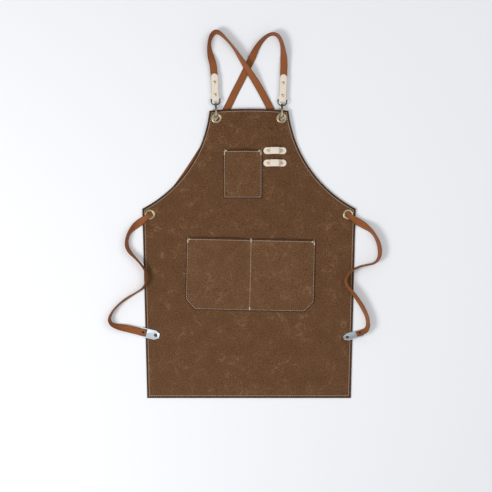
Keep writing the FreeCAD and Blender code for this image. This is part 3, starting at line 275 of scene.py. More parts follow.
@contextmanager
def reshaped(source, mesh):
    """Edit a copy of one mesh and write it to another, smooth and with its normals outward."""
    shell = bmesh.new()
    shell.from_mesh(source)
    yield shell
    bmesh.ops.recalc_face_normals(shell, faces=shell.faces)
    shell.to_mesh(mesh)
    shell.free()
    mesh.shade_smooth()


def add_socket(tree, name, kind, default=None, in_out="INPUT"):
    """Add a named socket to a node group."""
    socket = tree.interface.new_socket(name=name, in_out=in_out, socket_type=kind)
    if default is not None:
        socket.default_value = default


def put(tree, kind, **settings):
    """Add a node and set its properties."""
    made = tree.nodes.new(kind)
    for name, value in settings.items():
        setattr(made, name, value)
    return made


def feed(tree, target, socket, source):
    """Link or set one input."""
    if isinstance(source, bpy.types.NodeSocket):
        tree.links.new(source, target.inputs[socket])
    else:
        target.inputs[socket].default_value = source


# ---------------------------------------------------------------- the canvas
def armhole(y):
    """Half width of the armhole's curve at each height, and how much its slant widens an inset."""
    s = sizes()
    run_x, run_y = s.bib_half_width - s.side_half_width, s.bib_height - s.side_height
    chord = math.hypot(run_x, run_y)
    away = math.sqrt(s.armhole_radius**2 - (chord / 2) ** 2) / chord
    centre_x = (s.side_half_width + s.bib_half_width) / 2 + run_y * away
    centre_y = (s.side_height + s.bib_height) / 2 - run_x * away
    held = np.clip(y, s.side_height, s.bib_height)
    across = np.sqrt(s.armhole_radius**2 - (held - centre_y) ** 2)
    slope = (held - centre_y) / across
    return centre_x - across + slope * (y - held), np.sqrt(1 + slope**2)


def panel_inset(y, inset):
    """Half width of the panel at each height, a given distance inside its edge."""
    s = sizes()
    slope = (s.side_half_width - s.hem_half_width) / s.side_height
    side = s.hem_half_width + slope * y - inset * math.hypot(1, slope)
    curve, stretch = armhole(y)
    return np.minimum(side, curve - inset * stretch)


def crown(x):
    """How far the bib's top edge rises above its corners."""
    s = sizes()
    reach = np.minimum(np.abs(x), s.bib_half_width)
    at_corner = math.sqrt(s.crown_radius**2 - s.bib_half_width**2)
    return np.sqrt(s.crown_radius**2 - reach**2) - at_corner


def bowed(x, y):
    """How far the bow of the bib's top edge lifts a place on the cloth."""
    corner = sizes().bib_height
    return crown(x) * smooth(corner - CROWN_FADE, corner, y)


def lie(y):
    """Height of the canvas's underside above the floor: it climbs over the straps and hooks."""
    s = sizes()
    waist = smooth(*WAIST_RAMP, y) * (s.waist_level - s.skirt_level)
    return s.skirt_level + waist + smooth(*BIB_RAMP, y) * (s.bib_level - s.waist_level)


def calm_spots():
    """Where fittings hold the canvas flat: x, height above the hem and reach."""
    spots = []
    for name in ("chest_pocket_rivet_caps", "lower_pocket_rivet_caps", "pen_loop_rivet_caps"):
        low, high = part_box(name)
        middle = (low.y + high.y) / 2 - HEM_Y
        spots += [(low.x, middle, RIVET_CALM), (high.x, middle, RIVET_CALM)]
    fittings = [(f"{name}_grommet", GROMMET_CALM) for name in GROMMETS]
    fittings += [("pen_loop_upper", LOOP_CALM), ("pen_loop_lower", LOOP_CALM)]
    for name, reach in fittings:
        low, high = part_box(name)
        spots.append(((low.x + high.x) / 2, (low.y + high.y) / 2 - HEM_Y, reach))
    return spots


def ripple(x, y, edge):
    """Soft unevenness of the canvas, in metres, calm at its fittings and at its edges."""
    waves = 0.50 * noise_field(x, y, 0.130, 3.1) + 0.26 * noise_field(x, y, 0.048, 7.7)
    creases = np.clip(1 - np.abs(noise_field(x, y, 0.060, 11.3)) * 3.2, 0, 1) ** 3
    waves = waves + 0.30 * creases * noise_field(x, y, 0.090, 17.9)
    waves = waves + 0.05 * noise_field(x, y, 0.010, 23.5)
    inner = smooth(0.004, 0.050, edge)
    waves = waves * inner + np.clip(waves, 0, 1) * 0.7 * (1 - inner)
    for spot_x, spot_y, reach in calm_spots():
        far = np.hypot(x - spot_x, y - spot_y)
        waves = waves * smooth(reach * 0.5, reach * 1.5, far)
    return waves * MM


def seam(x, y, edge, inset):
    """The groove that a row of stitches pulls in, with its puckers."""
    groove = np.exp(-(((edge - inset) / GROOVE_WIDTH) ** 2)) * GROOVE_DEPTH
    pucker = np.exp(-(((edge - inset) / PUCKER_WIDTH) ** 2)) * PUCKER_HEIGHT
    pucker = pucker * noise_field(x, y, 0.0065, 31.0)
    return (pucker - groove) * MM


def panel_top(x, y, edge):
    """Height of the panel's front face above the floor."""
    s = sizes()
    return lie(y) + s.cloth + ripple(x, y, edge) + seam(x, y, edge, s.stitch_inset)


def folded_faces(top, edge, cloth, hem):
    """Front and back faces of a cloth whose edge is folded under by a hem and rounded over."""
    near = np.clip(1 - edge / cloth, 0, 1)
    rounding = cloth * (1 - np.sqrt(1 - near**2))
    double = 1 - smooth(hem - HEM_STEP, hem + HEM_STEP, edge)
    return top - rounding, np.maximum(top - cloth * (1 + double) + rounding, 0.0)


def edge_steps(cloth, hem):
    """Distances from a folded edge at which a cloth mesh has its lines."""
    rounding = [0.0, 0.12 * cloth, 0.45 * cloth, cloth]
    seam_lines = [0.0026, 0.0044, 0.0056, 0.0066, 0.0076]
    return rounding + seam_lines + [hem - HEM_STEP, hem + HEM_STEP, 0.0125, 0.0165]


def cloth_grid(half_width, levels, steps, share):
    """Mesh lines of a cloth: close together beside both folded edges and even between them."""
    columns = [-half_width(levels, inset) for inset in steps]
    columns += [part * half_width(levels, steps[-1]) for part in share]
    columns += [half_width(levels, inset) for inset in steps[::-1]]
    across = np.stack(columns, axis=1)
    return across, np.repeat(levels[:, None], across.shape[1], axis=1)


def cloth_mesh(name, x, y, front, back, edge, holes=()):
    """A closed cloth mesh from grids of places and of the heights of its two faces.

    holes are (x, y, radius): the cells inside are left out, and the hole's rim is closed.
    """
    rows, columns = x.shape
    x, y = x.copy(), y.copy()
    kept = np.ones((rows - 1, columns - 1), bool)
    for hole_x, hole_y, radius in holes:
        middle_x = (x[:-1, :-1] + x[1:, 1:]) / 2
        middle_y = (y[:-1, :-1] + y[1:, 1:]) / 2
        kept &= np.hypot(middle_x - hole_x, middle_y - hole_y) > radius * 0.82
        far = np.maximum(np.hypot(x - hole_x, y - hole_y), 1e-6)
        grow = np.where(far < radius, radius / far, 1.0)
        x, y = hole_x + (x - hole_x) * grow, hole_y + (y - hole_y) * grow
    faces = [np.stack([x, y + HEM_Y, height], axis=-1).reshape(-1, 3) for height in (front, back)]
    index = np.arange(rows * columns).reshape(rows, columns)
    corners = [index[:-1, :-1], index[:-1, 1:], index[1:, 1:], index[1:, :-1]]
    quads = np.stack(corners, axis=-1)[kept]
    directed = {(int(a), int(b)) for quad in quads for a, b in zip(quad, np.roll(quad, -1))}
    apart = np.abs(front - back).ravel() > 1e-5
    count = rows * columns
    walls = [(b, a, a + count, b + count) for a, b in sorted(directed)
             if (b, a) not in directed and (apart[a] or apart[b])]
    polygons = [tuple(int(i) for i in quad) for quad in quads]
    polygons += [tuple(int(i) + count for i in reversed(quad)) for quad in quads] + walls
    mesh = bpy.data.meshes.new(name)
    mesh.from_pydata(np.concatenate(faces).tolist(), [], polygons)
    add_attribute(mesh, "edge", np.concatenate([edge.ravel(), edge.ravel()]))
    with reshaped(mesh, mesh) as shell:
        bmesh.ops.remove_doubles(shell, verts=shell.verts, dist=2e-6)
        bmesh.ops.delete(shell, geom=[v for v in shell.verts if not v.link_faces], context="VERTS")
    return mesh


def grommet_holes():
    """The holes under the grommets: x, height above the hem and radius."""
    return [(x, y, GROMMET_HOLE) for x, y, reach in calm_spots() if reach == GROMMET_CALM]


def panel_grids():
    """Places of the panel's mesh lines and their distance from the nearest edge."""
    s = sizes()
    steps = np.array(edge_steps(s.cloth, s.hem))
    last = steps[-1]
    inside = np.arange(last + s.cell, s.bib_height - last - s.cell / 2, s.cell)
    inside[np.abs(inside - s.side_height).argmin()] = s.side_height
    heights = np.concatenate([steps, inside, s.bib_height - steps[::-1]])
    count = int(round(2 * (s.side_half_width - last) / s.cell))
    share = np.linspace(-1, 1, count)[1:-1]
    x, y = cloth_grid(panel_inset, heights, steps, share)
    stretch = armhole(y)[1]
    beside = (panel_inset(y, 0.0) - np.abs(x)) / np.where(y > s.side_height, stretch, 1.0)
    for number, inset in enumerate(steps):
        beside[:, number] = inset
        beside[:, -1 - number] = inset
    edge = np.minimum(np.minimum(beside, y), s.bib_height - y)
    return x, y + bowed(x, y), np.maximum(edge, 0.0)


def panel_seam_path():
    """The line of the topstitching round the panel."""
    s = sizes()
    inset = s.stitch_inset
    heights = np.arange(inset, s.bib_height - inset, SEAM_STEP)
    side = panel_inset(heights, inset)
    top_x = np.arange(side[-1], -side[-1], -SEAM_STEP)
    bottom_x = np.arange(-side[0], side[0], SEAM_STEP)
    x = np.concatenate([bottom_x, side, top_x, -side[::-1]])
    top_y = s.bib_height - inset + crown(top_x)
    side_y = heights + bowed(side, heights)
    y = np.concatenate([np.full_like(bottom_x, inset), side_y, top_y, side_y[::-1]])
    z = panel_top(x, y, np.full_like(x, inset))
    return np.stack([x, y + HEM_Y, z], axis=1)


# ---------------------------------------------------------------- pockets
class Pocket:
    """One patch pocket, in its own frame: across from its middle and down from its mouth."""

    def __init__(self, half, depth, cut, place, tilt, dividers):
        self.half, self.depth, self.cut = half, depth, cut
        self.place, self.tilt, self.dividers = place, math.radians(tilt), dividers

    def slant(self, down):
        """Half width of the cut corners' line, and how much its slope widens an inset."""
        slope = self.cut[0] / self.cut[1]
        return self.half - (down - (self.depth - self.cut[1])) * slope, math.hypot(1, slope)

    def inset(self, down, distance):
        """Half width a given distance inside the edge, at each depth below the mouth."""
        straight = np.full_like(down, self.half - distance)
        if not self.cut[0]:
            return straight
        line, stretch = self.slant(down)
        return np.minimum(straight, line - distance * stretch)

    def edge(self, across, down):
        """Distance from the nearest edge."""
        beside = self.half - np.abs(across)
        if self.cut[0]:
            line, stretch = self.slant(down)
            beside = np.minimum(beside, (line - np.abs(across)) / stretch)
        return np.maximum(np.minimum(np.minimum(beside, down), self.depth - down), 0.0)

    def world(self, across, down):
        """X and height above the hem."""
        x = self.place[0] + across * math.cos(self.tilt) + down * math.sin(self.tilt)
        return x, self.place[1] + across * math.sin(self.tilt) - down * math.cos(self.tilt)

    def top(self, across, down):
        """Height of the pocket's front face above the floor."""
        s, p = sizes(), pockets()
        x, y = self.world(across, down)
        edges = sorted([-self.half, self.half] + list(self.dividers))
        fullness = np.zeros_like(across)
        closed = smooth(0.0, 0.75, (self.depth - down) / self.depth) ** 0.8
        for left, right in zip(edges, edges[1:]):
            guard_left = p.corner if left == -self.half else SEAM_GUARD
            guard_right = p.corner if right == self.half else SEAM_GUARD
            near_mouth = 1 - smooth(0.010, 0.045, down)
            start = left + FULL_START + (guard_left - SEAM_GUARD) * near_mouth
            stop = right - FULL_START - (guard_right - SEAM_GUARD) * near_mouth
            rise = smooth(start, start + FULL_RISE, across)
            rise = rise * (1 - smooth(stop - FULL_RISE, stop, across))
            fullness = fullness + rise
        slack = 1 + 0.25 * noise_field(x, y, 0.070, 41.0)
        creases = 0.35 * MM * noise_field(x, y, 0.022, 43.0)
        creases = creases * smooth(0.008, 0.025, self.edge(across, down))
        body = p.belly * fullness * closed * slack + creases * fullness
        for divider in self.dividers:
            body = body - 0.3 * MM * np.exp(-(((across - divider) / 0.0012) ** 2))
        below = lie(y) + s.cloth + ripple(x, y, np.full_like(x, 0.2))
        side = np.minimum(self.half - np.abs(across), self.depth - down)
        seams = seam(x, y, side, p.side_seam) + seam(x, y, down, p.mouth_seam)
        return below + 2 * s.cloth + body + seams

    def mesh(self, name):
        """The pocket's cloth."""
        s = sizes()
        steps = np.array(edge_steps(s.cloth, s.hem))
        last = steps[-1]
        inside = np.linspace(last, self.depth - last, int(self.depth / POCKET_CELL))[1:-1]
        down = np.concatenate([steps, inside, self.depth - steps[::-1]])
        share = np.linspace(-1, 1, int(2 * self.half / POCKET_CELL))[1:-1]
        across, down = cloth_grid(self.inset, down, steps, share)
        edge = self.edge(across, down)
        front, back = folded_faces(self.top(across, down), edge, s.cloth, s.hem)
        x, y = self.world(across, down)
        return cloth_mesh(name, x, y, front, back, edge)

    def path(self, corners):
        """A line on the pocket's front through a few places given across and down."""
        spots = []
        for (start_a, start_d), (end_a, end_d) in zip(corners, corners[1:]):
            run_a, run_d = end_a - start_a, end_d - start_d
            count = max(2, int(math.hypot(run_a, run_d) / SEAM_STEP))
            for share in np.linspace(0, 1, count, endpoint=False):
                spots.append((start_a + run_a * share, start_d + run_d * share))
        spots.append(corners[-1])
        across, down = np.array(spots).T
        x, y = self.world(across, down)
        return np.stack([x, y + HEM_Y, self.top(across, down)], axis=1)

    def seam_paths(self):
        """The rows of stitches: round the edge, below the mouth and down each divider."""
        row, mouth = pockets().side_seam, pockets().mouth_seam
        half = self.half - row
        bottom = self.depth - row
        outline = [(-half, SEAM_END)]
        if self.cut[0]:
            knee = self.depth - self.cut[1]
            shift = row * 0.45
            outline += [(-half, knee - shift), (-half + self.cut[0] - shift, bottom)]
            outline += [(half - self.cut[0] + shift, bottom), (half, knee - shift)]
        else:
            outline += [(-half, bottom), (half, bottom)]
        outline += [(half, SEAM_END)]
        lines = [outline, [(-half, mouth), (half, mouth)]]
        lines += [[(divider, SEAM_END), (divider, bottom)] for divider in self.dividers]
        return [self.path(line) for line in lines]

    def tack(self, across, down, along, wide):
        """A bar tack: tight zigzag stitches centred on a place."""
        shares = np.linspace(-0.5, 0.5, TACK_TURNS)
        return self.path([(across + (wide / 2 if number % 2 else -wide / 2), down + along * share)
                          for number, share in enumerate(shares)])


def chest():
    """The pocket on the bib."""
    p = pockets()
    low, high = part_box("chest_pocket")
    mouth = ((low.x + high.x) / 2, p.chest_top)
    return Pocket(p.chest_half_width, p.chest_depth, (0, 0), mouth, 0.0, ())


def lower():
    """The wide pocket on the skirt."""
    p = pockets()
    cut = (p.lower_cut_across, p.lower_cut_up)
    mouth = (LOWER_POCKET_X, p.lower_top)
    return Pocket(p.lower_half_width, p.lower_depth, cut, mouth, LOWER_POCKET_TILT, (0.0,))


# ---------------------------------------------------------------- repeated pieces
def stitch_tree():
    """Geometry nodes that lay one stitch after another along every edge chain of a mesh."""
    tree = bpy.data.node_groups.new("Stitch row", "GeometryNodeTree")
    for name, kind, default in (
        ("Rows", "Geometry", None), ("Pitch", "Float", 0.005), ("Stitch length", "Float", 0.0044),
        ("Thread", "Float", 0.001), ("Seed", "Int", 5), ("Material", "Material", None),
    ):
        add_socket(tree, name, f"NodeSocket{kind}", default)
    add_socket(tree, "Stitches", "NodeSocketGeometry", in_out="OUTPUT")
    given = put(tree, "NodeGroupInput")
    curve = put(tree, "GeometryNodeMeshToCurve")
    spaced = put(tree, "GeometryNodeResampleCurve", mode="LENGTH")
    tangent = put(tree, "GeometryNodeInputTangent")
    facing = put(tree, "FunctionNodeAlignRotationToVector", axis="X")
    loop = put(tree, "GeometryNodeMeshUVSphere")
    uneven = put(tree, "FunctionNodeRandomValue")
    longer = put(tree, "ShaderNodeMath", operation="MULTIPLY")
    size = put(tree, "ShaderNodeCombineXYZ")
    placed = put(tree, "GeometryNodeInstanceOnPoints")
    real = put(tree, "GeometryNodeRealizeInstances")
    shade = put(tree, "GeometryNodeSetShadeSmooth")
    paint = put(tree, "GeometryNodeSetMaterial")
    result = put(tree, "NodeGroupOutput")
    for socket, value in (("Segments", 7), ("Rings", 6), ("Radius", 0.5)):
        feed(tree, loop, socket, value)
    feed(tree, uneven, 2, 0.9)  # the shortest and the longest share of a stitch's length
    feed(tree, uneven, 3, 1.08)
    for source, output, target, socket in (
        (given, "Rows", curve, "Mesh"), (curve, "Curve", spaced, "Curve"),
        (given, "Pitch", spaced, "Length"), (tangent, "Tangent", facing, "Vector"),
        (given, "Seed", uneven, "Seed"), (given, "Stitch length", longer, 0),
        (uneven, 1, longer, 1), (longer, 0, size, "X"), (given, "Thread", size, "Y"),
        (given, "Thread", size, "Z"), (spaced, "Curve", placed, "Points"),
        (loop, "Mesh", placed, "Instance"), (facing, "Rotation", placed, "Rotation"),
        (size, "Vector", placed, "Scale"), (placed, "Instances", real, "Geometry"),
        (real, "Geometry", shade, "Geometry"), (shade, "Geometry", paint, "Geometry"),
        (given, "Material", paint, "Material"), (paint, "Geometry", result, "Stitches"),
    ):
        feed(tree, target, socket, source.outputs[output])
    return tree


def stitch_rows(name, rows, pitch, run, thread):
    """Make every row of stitches of one piece: rows are lists of places on the cloth."""
    tree = bpy.data.node_groups.get("Stitch row") or stitch_tree()
    points, edges = [], []
    for row in rows:
        start = len(points)
        points += [tuple(spot) for spot in row]
        edges += [(start + i, start + i + 1) for i in range(len(row) - 1)]
    line = bpy.data.meshes.new(f"{name}_rows")
    line.from_pydata(points, edges, [])
    guide = bpy.data.objects.new(f"{name}_guide", line)
    bpy.context.scene.collection.objects.link(guide)
    modifier = guide.modifiers.new("Stitches", "NODES")
    modifier.node_group = tree
    values = {"Pitch": pitch, "Stitch length": run, "Thread": thread,
              "Material": material("thread")}
    for item in tree.interface.items_tree:
        if item.in_out == "INPUT" and item.name in values:
            modifier[item.identifier] = values[item.name]
    guide.data.update()
    made = guide.evaluated_get(bpy.context.evaluated_depsgraph_get())
    mesh = bpy.data.meshes.new_from_object(made)
    guide.modifiers.clear()
    bpy.data.objects.remove(guide)
    if len(mesh.polygons) == 0:
        raise RuntimeError(f"{name}: no stitches were made")
    mesh.name = name
    piece = bpy.data.objects.new(name, mesh)
    bpy.context.scene.collection.objects.link(piece)
    return finish_piece(piece, "root")


# ---------------------------------------------------------------- straps
def curve_points(name, points):
    """Places along an open smooth line with the given points as its control points."""
    curve = bpy.data.curves.new(name, "CURVE")
    curve.dimensions = "3D"
    curve.resolution_u = 10
    spline = curve.splines.new("NURBS")
    spline.points.add(len(points) - 1)
    for point, place in zip(spline.points, points):
        point.co = (*place, 1.0)
    spline.order_u = 3
    spline.use_endpoint_u = True
    holder = bpy.data.objects.new(name, curve)
    mesh = bpy.data.meshes.new_from_object(holder)
    line = np.array([vertex.co for vertex in mesh.vertices])
    bpy.data.objects.remove(holder)
    bpy.data.meshes.remove(mesh)
    bpy.data.curves.remove(curve)
    return line


def strap_section():
    """A strap's outline: shares of its half width and of its half thickness."""
    across = np.linspace(-0.955, 0.955, 13)
    side = [(0.99, 0.6), (1.0, 0.0), (0.99, -0.6)]
    half = [(share, 1.0) for share in across] + side
    return half + [(-share, -level) for share, level in half]


def strap_line(route):
    """Centres, headings, rolls and widths along a strap, all on the same smooth spline."""
    stations = [(*station, FULL_WIDTH)[:5] for station in route]
    places = [(x * MM, y * MM + HEM_Y, z * MM) for x, y, z, roll, width in stations]
    line = curve_points("strap_line", places)
    turns = [(roll, width * MM, 0.0) for x, y, z, roll, width in stations]
    turns = curve_points("strap_turns", turns)
    heading = np.gradient(line, axis=0)
    heading /= np.linalg.norm(heading, axis=1)[:, None]
    return line, heading, np.radians(turns[:, 0]), turns[:, 1]


def strap_mesh(name, route, full_width, thickness):
    """A woven band along its route, with each place's offset and length stored for the weave."""
    line, heading, roll, width = strap_line(route)
    side = np.cross((0.0, 0.0, 1.0), heading)
    side /= np.linalg.norm(side, axis=1)[:, None]
    over = np.cross(heading, side)
    across = side * np.cos(roll)[:, None] + over * np.sin(roll)[:, None]
    normal = np.cross(heading, across)
    section = strap_section()
    steps = np.linalg.norm(np.diff(line, axis=0), axis=1)
    along = np.concatenate([[0.0], np.cumsum(steps)])
    ring = len(section)
    vertices, places = [], []
    for number in range(len(line)):
        half = width[number] / 2
        curl = (full_width - width[number]) * BUNCH
        for share, level in section:
            lift = curl * share * share + level * thickness / 2
            spot = line[number] + across[number] * half * share + normal[number] * lift
            vertices.append(tuple(spot))
            places.append((share * full_width / 2, along[number]))
    faces = []
    for number in range(len(line) - 1):
        for corner in range(ring):
            following = (corner + 1) % ring
            faces.append((number * ring + corner, number * ring + following,
                          (number + 1) * ring + following, (number + 1) * ring + corner))
    faces.append(tuple(range(ring)))
    faces.append(tuple(range((len(line) - 1) * ring, len(line) * ring)))
    mesh = bpy.data.meshes.new(name)
    mesh.from_pydata(vertices, [], faces)
    with reshaped(mesh, mesh):
        pass  # only its normals are turned outward
    layer = mesh.uv_layers.new(name="band")
    for loop in mesh.loops:
        layer.data[loop.index].uv = places[loop.vertex_index]
    return mesh, line


# ---------------------------------------------------------------- hard pieces
def refined(node, body, finish, bevel):
    """A copy of a node's shape with its sharp edges rounded over."""
    mesh = bpy.data.meshes.new(f"{node}_rounded")
    with reshaped(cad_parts[node].data, mesh) as shell:
        bmesh.ops.remove_doubles(shell, verts=shell.verts, dist=1e-6)
        bmesh.ops.dissolve_limit(shell, angle_limit=math.radians(0.5), verts=shell.verts,
                                 edges=shell.edges)
        sharp = [edge for edge in shell.edges
                 if len(edge.link_faces) == 2 and edge.calc_face_angle() > SHARP_EDGE]
        bmesh.ops.bevel(shell, geom=sharp, offset=bevel, segments=2, profile=0.5,
                        affect="EDGES", clamp_overlap=True)
        bmesh.ops.triangulate(shell, faces=[face for face in shell.faces if len(face.verts) > 4])
    mesh.set_sharp_from_angle(angle=SHARP_SHADE)
    piece = new_object(f"{node}_rounded", mesh, material(finish))
    return finish_piece(piece, body, [node])


def dress(node, finish):
    """Give a finish to a node that keeps its shape."""
    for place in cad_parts[node].material_slots:
        place.material = material(finish)
    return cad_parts[node]


# ---------------------------------------------------------------- shader groups
def shader_group(name, inputs, outputs):
    """An empty shader node group: it takes a vector and named numbers, and gives named numbers."""
    group = bpy.data.node_groups.new(name, "ShaderNodeTree")
    add_socket(group, "Vector", "NodeSocketVector")
    for title, default in inputs.items():
        add_socket(group, title, "NodeSocketFloat", default)
    for title in outputs:
        add_socket(group, title, "NodeSocketFloat", in_out="OUTPUT")
    return group, put(group, "NodeGroupInput"), put(group, "NodeGroupOutput")


def calculate(tree, operation, first, second=0.0, third=0.0):
    """A math node's result."""
    made = put(tree, "ShaderNodeMath", operation=operation)
    feed(tree, made, 0, first)
    feed(tree, made, 1, second)
    feed(tree, made, 2, third)
    return made.outputs[0]


def weighted(tree, *terms, start=0.0):
    """The sum of some values, each times its share."""
    for value, share in terms:
        start = calculate(tree, "MULTIPLY_ADD", value, share, start)
    return start


def vector_sum(tree, operation, vector, second):
    """A vector math node's vector."""
    made = put(tree, "ShaderNodeVectorMath", operation=operation)
    feed(tree, made, 0, vector)
    feed(tree, made, "Scale" if operation == "SCALE" else 1, second)
    return made.outputs[0]


def split(tree, vector):
    """The parts of a vector, by letter."""
    made = put(tree, "ShaderNodeSeparateXYZ")
    feed(tree, made, 0, vector)
    return made.outputs


def speckle(tree, vector, scale, detail=2.0, roughness=0.5, distortion=0.0, output="Fac"):
    """A noise texture's value or colour."""
    made = put(tree, "ShaderNodeTexNoise")
    for socket, source in (("Vector", vector), ("Scale", scale), ("Detail", detail),
                           ("Roughness", roughness), ("Distortion", distortion)):
        feed(tree, made, socket, source)
    return made.outputs[output]


def between(tree, value, low, high, start=0.0, stop=1.0):
    """A value mapped from one range to another and held inside it."""
    made = put(tree, "ShaderNodeMapRange")
    for socket, source in zip(("Value", "From Min", "From Max", "To Min", "To Max"),
                              (value, low, high, start, stop)):
        feed(tree, made, socket, source)
    return made.outputs["Result"]


def scaled(tint, share):
    """A colour made darker or brighter."""
    return tuple(min(1.0, channel * share) for channel in tint)


def blend_colour(tree, share, first, second):
    """Two colours mixed by a share."""
    made = put(tree, "ShaderNodeMix", data_type="RGBA", blend_type="MIX")
    feed(tree, made, 0, share)
    for socket, source in ((6, first), (7, second)):
        if isinstance(source, bpy.types.NodeSocket):
            tree.links.new(source, made.inputs[socket])
        else:
            made.inputs[socket].default_value = (*source, 1.0)
    return made.outputs[2]


def weave_group():
    """A plain weave of round threads going over and under: its height, and that as a share."""
    group, given, result = shader_group("Weave", {"Threads per metre": 1500.0, "Slub": 0.3},
                                        ("Height", "Relief"))
    vector = given.outputs["Vector"]
    uneven = speckle(group, vector, 260.0, 1.0, output="Color")
    moved = vector_sum(group, "ADD", vector, vector_sum(group, "SCALE", uneven, 0.0007))
    turns = calculate(group, "MULTIPLY", given.outputs["Threads per metre"], math.pi)
    angles = [calculate(group, "MULTIPLY", split(group, moved)[axis], turns) for axis in "XY"]
    warp, weft = (calculate(group, "SINE", angle) for angle in angles)
    height = put(group, "ShaderNodeMix", data_type="FLOAT")
    feed(group, height, 0, between(group, calculate(group, "MULTIPLY", warp, weft), -0.2, 0.2))
    feed(group, height, 2, calculate(group, "ABSOLUTE", warp))
    feed(group, height, 3, calculate(group, "ABSOLUTE", weft))
    slub = (speckle(group, vector, 420.0, 1.0), given.outputs["Slub"])
    slubbed = weighted(group, slub, start=height.outputs[0])
    feed(group, result, "Height", slubbed)
    feed(group, result, "Relief", between(group, slubbed, 0.2, 1.2))
    return group


def patina_group():
    """Cloudy patches, fine fibres and thin rubbed lines, as values from 0 to 1."""
    group, given, result = shader_group(
        "Patina", {"Patch scale": 30.0, "Fleck scale": 260.0, "Line scale": 26.0},
        ("Patches", "Flecks", "Lines"))
    vector = given.outputs["Vector"]
    patches = speckle(group, vector, given.outputs["Patch scale"], 5.0, 0.6, 0.3)
    drawn_out = vector_sum(group, "MULTIPLY", vector, (0.7, 1.0, 1.0))
    flecks = speckle(group, drawn_out, given.outputs["Fleck scale"], 3.0, 0.7)
    bent = speckle(group, vector, given.outputs["Line scale"], 4.0, 0.55, 0.8)
    off = calculate(group, "ABSOLUTE", calculate(group, "SUBTRACT", bent, 0.5))
    lines = between(group, off, 0.0, 0.022, 1.0, 0.0)
    patchy = between(group, patches, 0.45, 0.62)
    feed(group, result, "Patches", between(group, patches, 0.33, 0.67))
    feed(group, result, "Flecks", between(group, flecks, 0.39, 0.61))
    feed(group, result, "Lines", calculate(group, "MULTIPLY", lines, patchy))
    return group


# ---------------------------------------------------------------- materials
class Finish:
    """One material in the making, with the cloudy wear that all of them share."""

    def __init__(self, title, patch, fleck, line, band=False):
        self.made = bpy.data.materials.new(title)
        self.made.use_nodes = True
        self.tree = self.made.node_tree
        self.shader = self.tree.nodes["Principled BSDF"]
        self.bump = put(self.tree, "ShaderNodeBump")
        feed(self.tree, self.shader, "Normal", self.bump.outputs["Normal"])
        if band:
            self.spot = put(self.tree, "ShaderNodeUVMap", uv_map="band").outputs["UV"]
        else:
            self.spot = put(self.tree, "ShaderNodeTexCoord").outputs["Object"]
        wear = self.group("Patina", patina_group, ("Patch scale", patch), ("Fleck scale", fleck),
                          ("Line scale", line))
        self.patches, self.flecks, self.lines = wear["Patches"], wear["Flecks"], wear["Lines"]

    def group(self, name, builder, *values):
        """Use a shared group with the material's own values."""
        made = put(self.tree, "ShaderNodeGroup")
        made.node_tree = bpy.data.node_groups.get(name) or builder()
        for title, value in (("Vector", self.spot), *values):
            feed(self.tree, made, title, value)
        return made.outputs

    def coat(self, base, polish, height, strength, distance, uneven=None, **fixed):
        """Join the colour, the uneven polish and the relief to the shader."""
        feed(self.tree, self.shader, "Base Color", base)
        rough = between(self.tree, uneven or self.flecks, 0.0, 1.0, *polish)
        feed(self.tree, self.shader, "Roughness", rough)
        for socket, value in (("Height", height), ("Strength", strength), ("Distance", distance)):
            feed(self.tree, self.bump, socket, value)
        for name, value in fixed.items():
            feed(self.tree, self.shader, name.replace("_", " "), value)
        return self.made


def canvas_material(title, wear):
    """Waxed brown canvas: plain weave, cloudy wax, pale rubbed creases and darker hems, part colour,
    part painted shade.
    """
    finish = Finish(title, 24.0, 400.0, 19.0)
    tree, tint = finish.tree, colours()
    weave = finish.group("Weave", weave_group, ("Threads per metre", 1500.0), ("Slub", 0.5))
    worn = between(tree, split(tree, finish.spot)["Y"], 0.30, -0.45, wear, wear + 0.05)
    worn = weighted(tree, (finish.patches, 0.11), (finish.flecks, 0.48), (finish.lines, 0.46),
                    (weave["Relief"], 0.16), start=worn)
    base = blend_colour(tree, worn, tint.canvas, tint.canvas_worn)
    edge = put(tree, "ShaderNodeAttribute", attribute_name="edge").outputs["Fac"]
    # painted shade: the hem outside the stitching is darkened, partly its own deeper colour and
    # partly shade painted in
    hem_tone_and_shade = between(tree, edge, 0.0042, 0.0060, 0.62, 0.0)
    base = blend_colour(tree, hem_tone_and_shade, base, scaled(tint.canvas, 0.52))
    height = weighted(tree, (finish.flecks, 0.6), start=weave["Height"])
    return finish.coat(base, (0.78, 0.92), height, 0.55, 0.00035, Sheen_Weight=0.04,
                       Sheen_Roughness=0.6, Specular_IOR_Level=0.12)


def webbing_material(title):
    """Woven strap: fine ribs along its length, crossing picks and painted shade darkening its edges.
    """
    finish = Finish(title, 38.0, 420.0, 60.0, band=True)
    tree, tint = finish.tree, colours().webbing
    weave = finish.group("Weave", weave_group, ("Threads per metre", 950.0), ("Slub", 0.4))
    off = calculate(tree, "ABSOLUTE", split(tree, finish.spot)["X"])
    # painted shade: the strap is darkened towards both of its edges
    painted_edge_shade = between(tree, off, 0.0066, 0.0094)
    drawn_out = vector_sum(tree, "MULTIPLY", finish.spot, (1.0, 0.04, 1.0))
    ribs = between(tree, speckle(tree, drawn_out, 620.0, 2.0), 0.35, 0.65)
    light = weighted(tree, (finish.patches, 0.45), (weave["Relief"], 0.35))
    base = blend_colour(tree, light, tint, scaled(tint, 1.32))
    # flecks and streaks along the length vary the tone, and the edges add painted shade
    shade = weighted(tree, (finish.flecks, 0.22), (ribs, 0.42), (painted_edge_shade, 0.55))
    base = blend_colour(tree, shade, base, scaled(tint, 0.55))
    return finish.coat(base, (0.55, 0.75), weave["Height"], 0.7, 0.00035, Sheen_Weight=0.04,
                       Specular_IOR_Level=0.25)


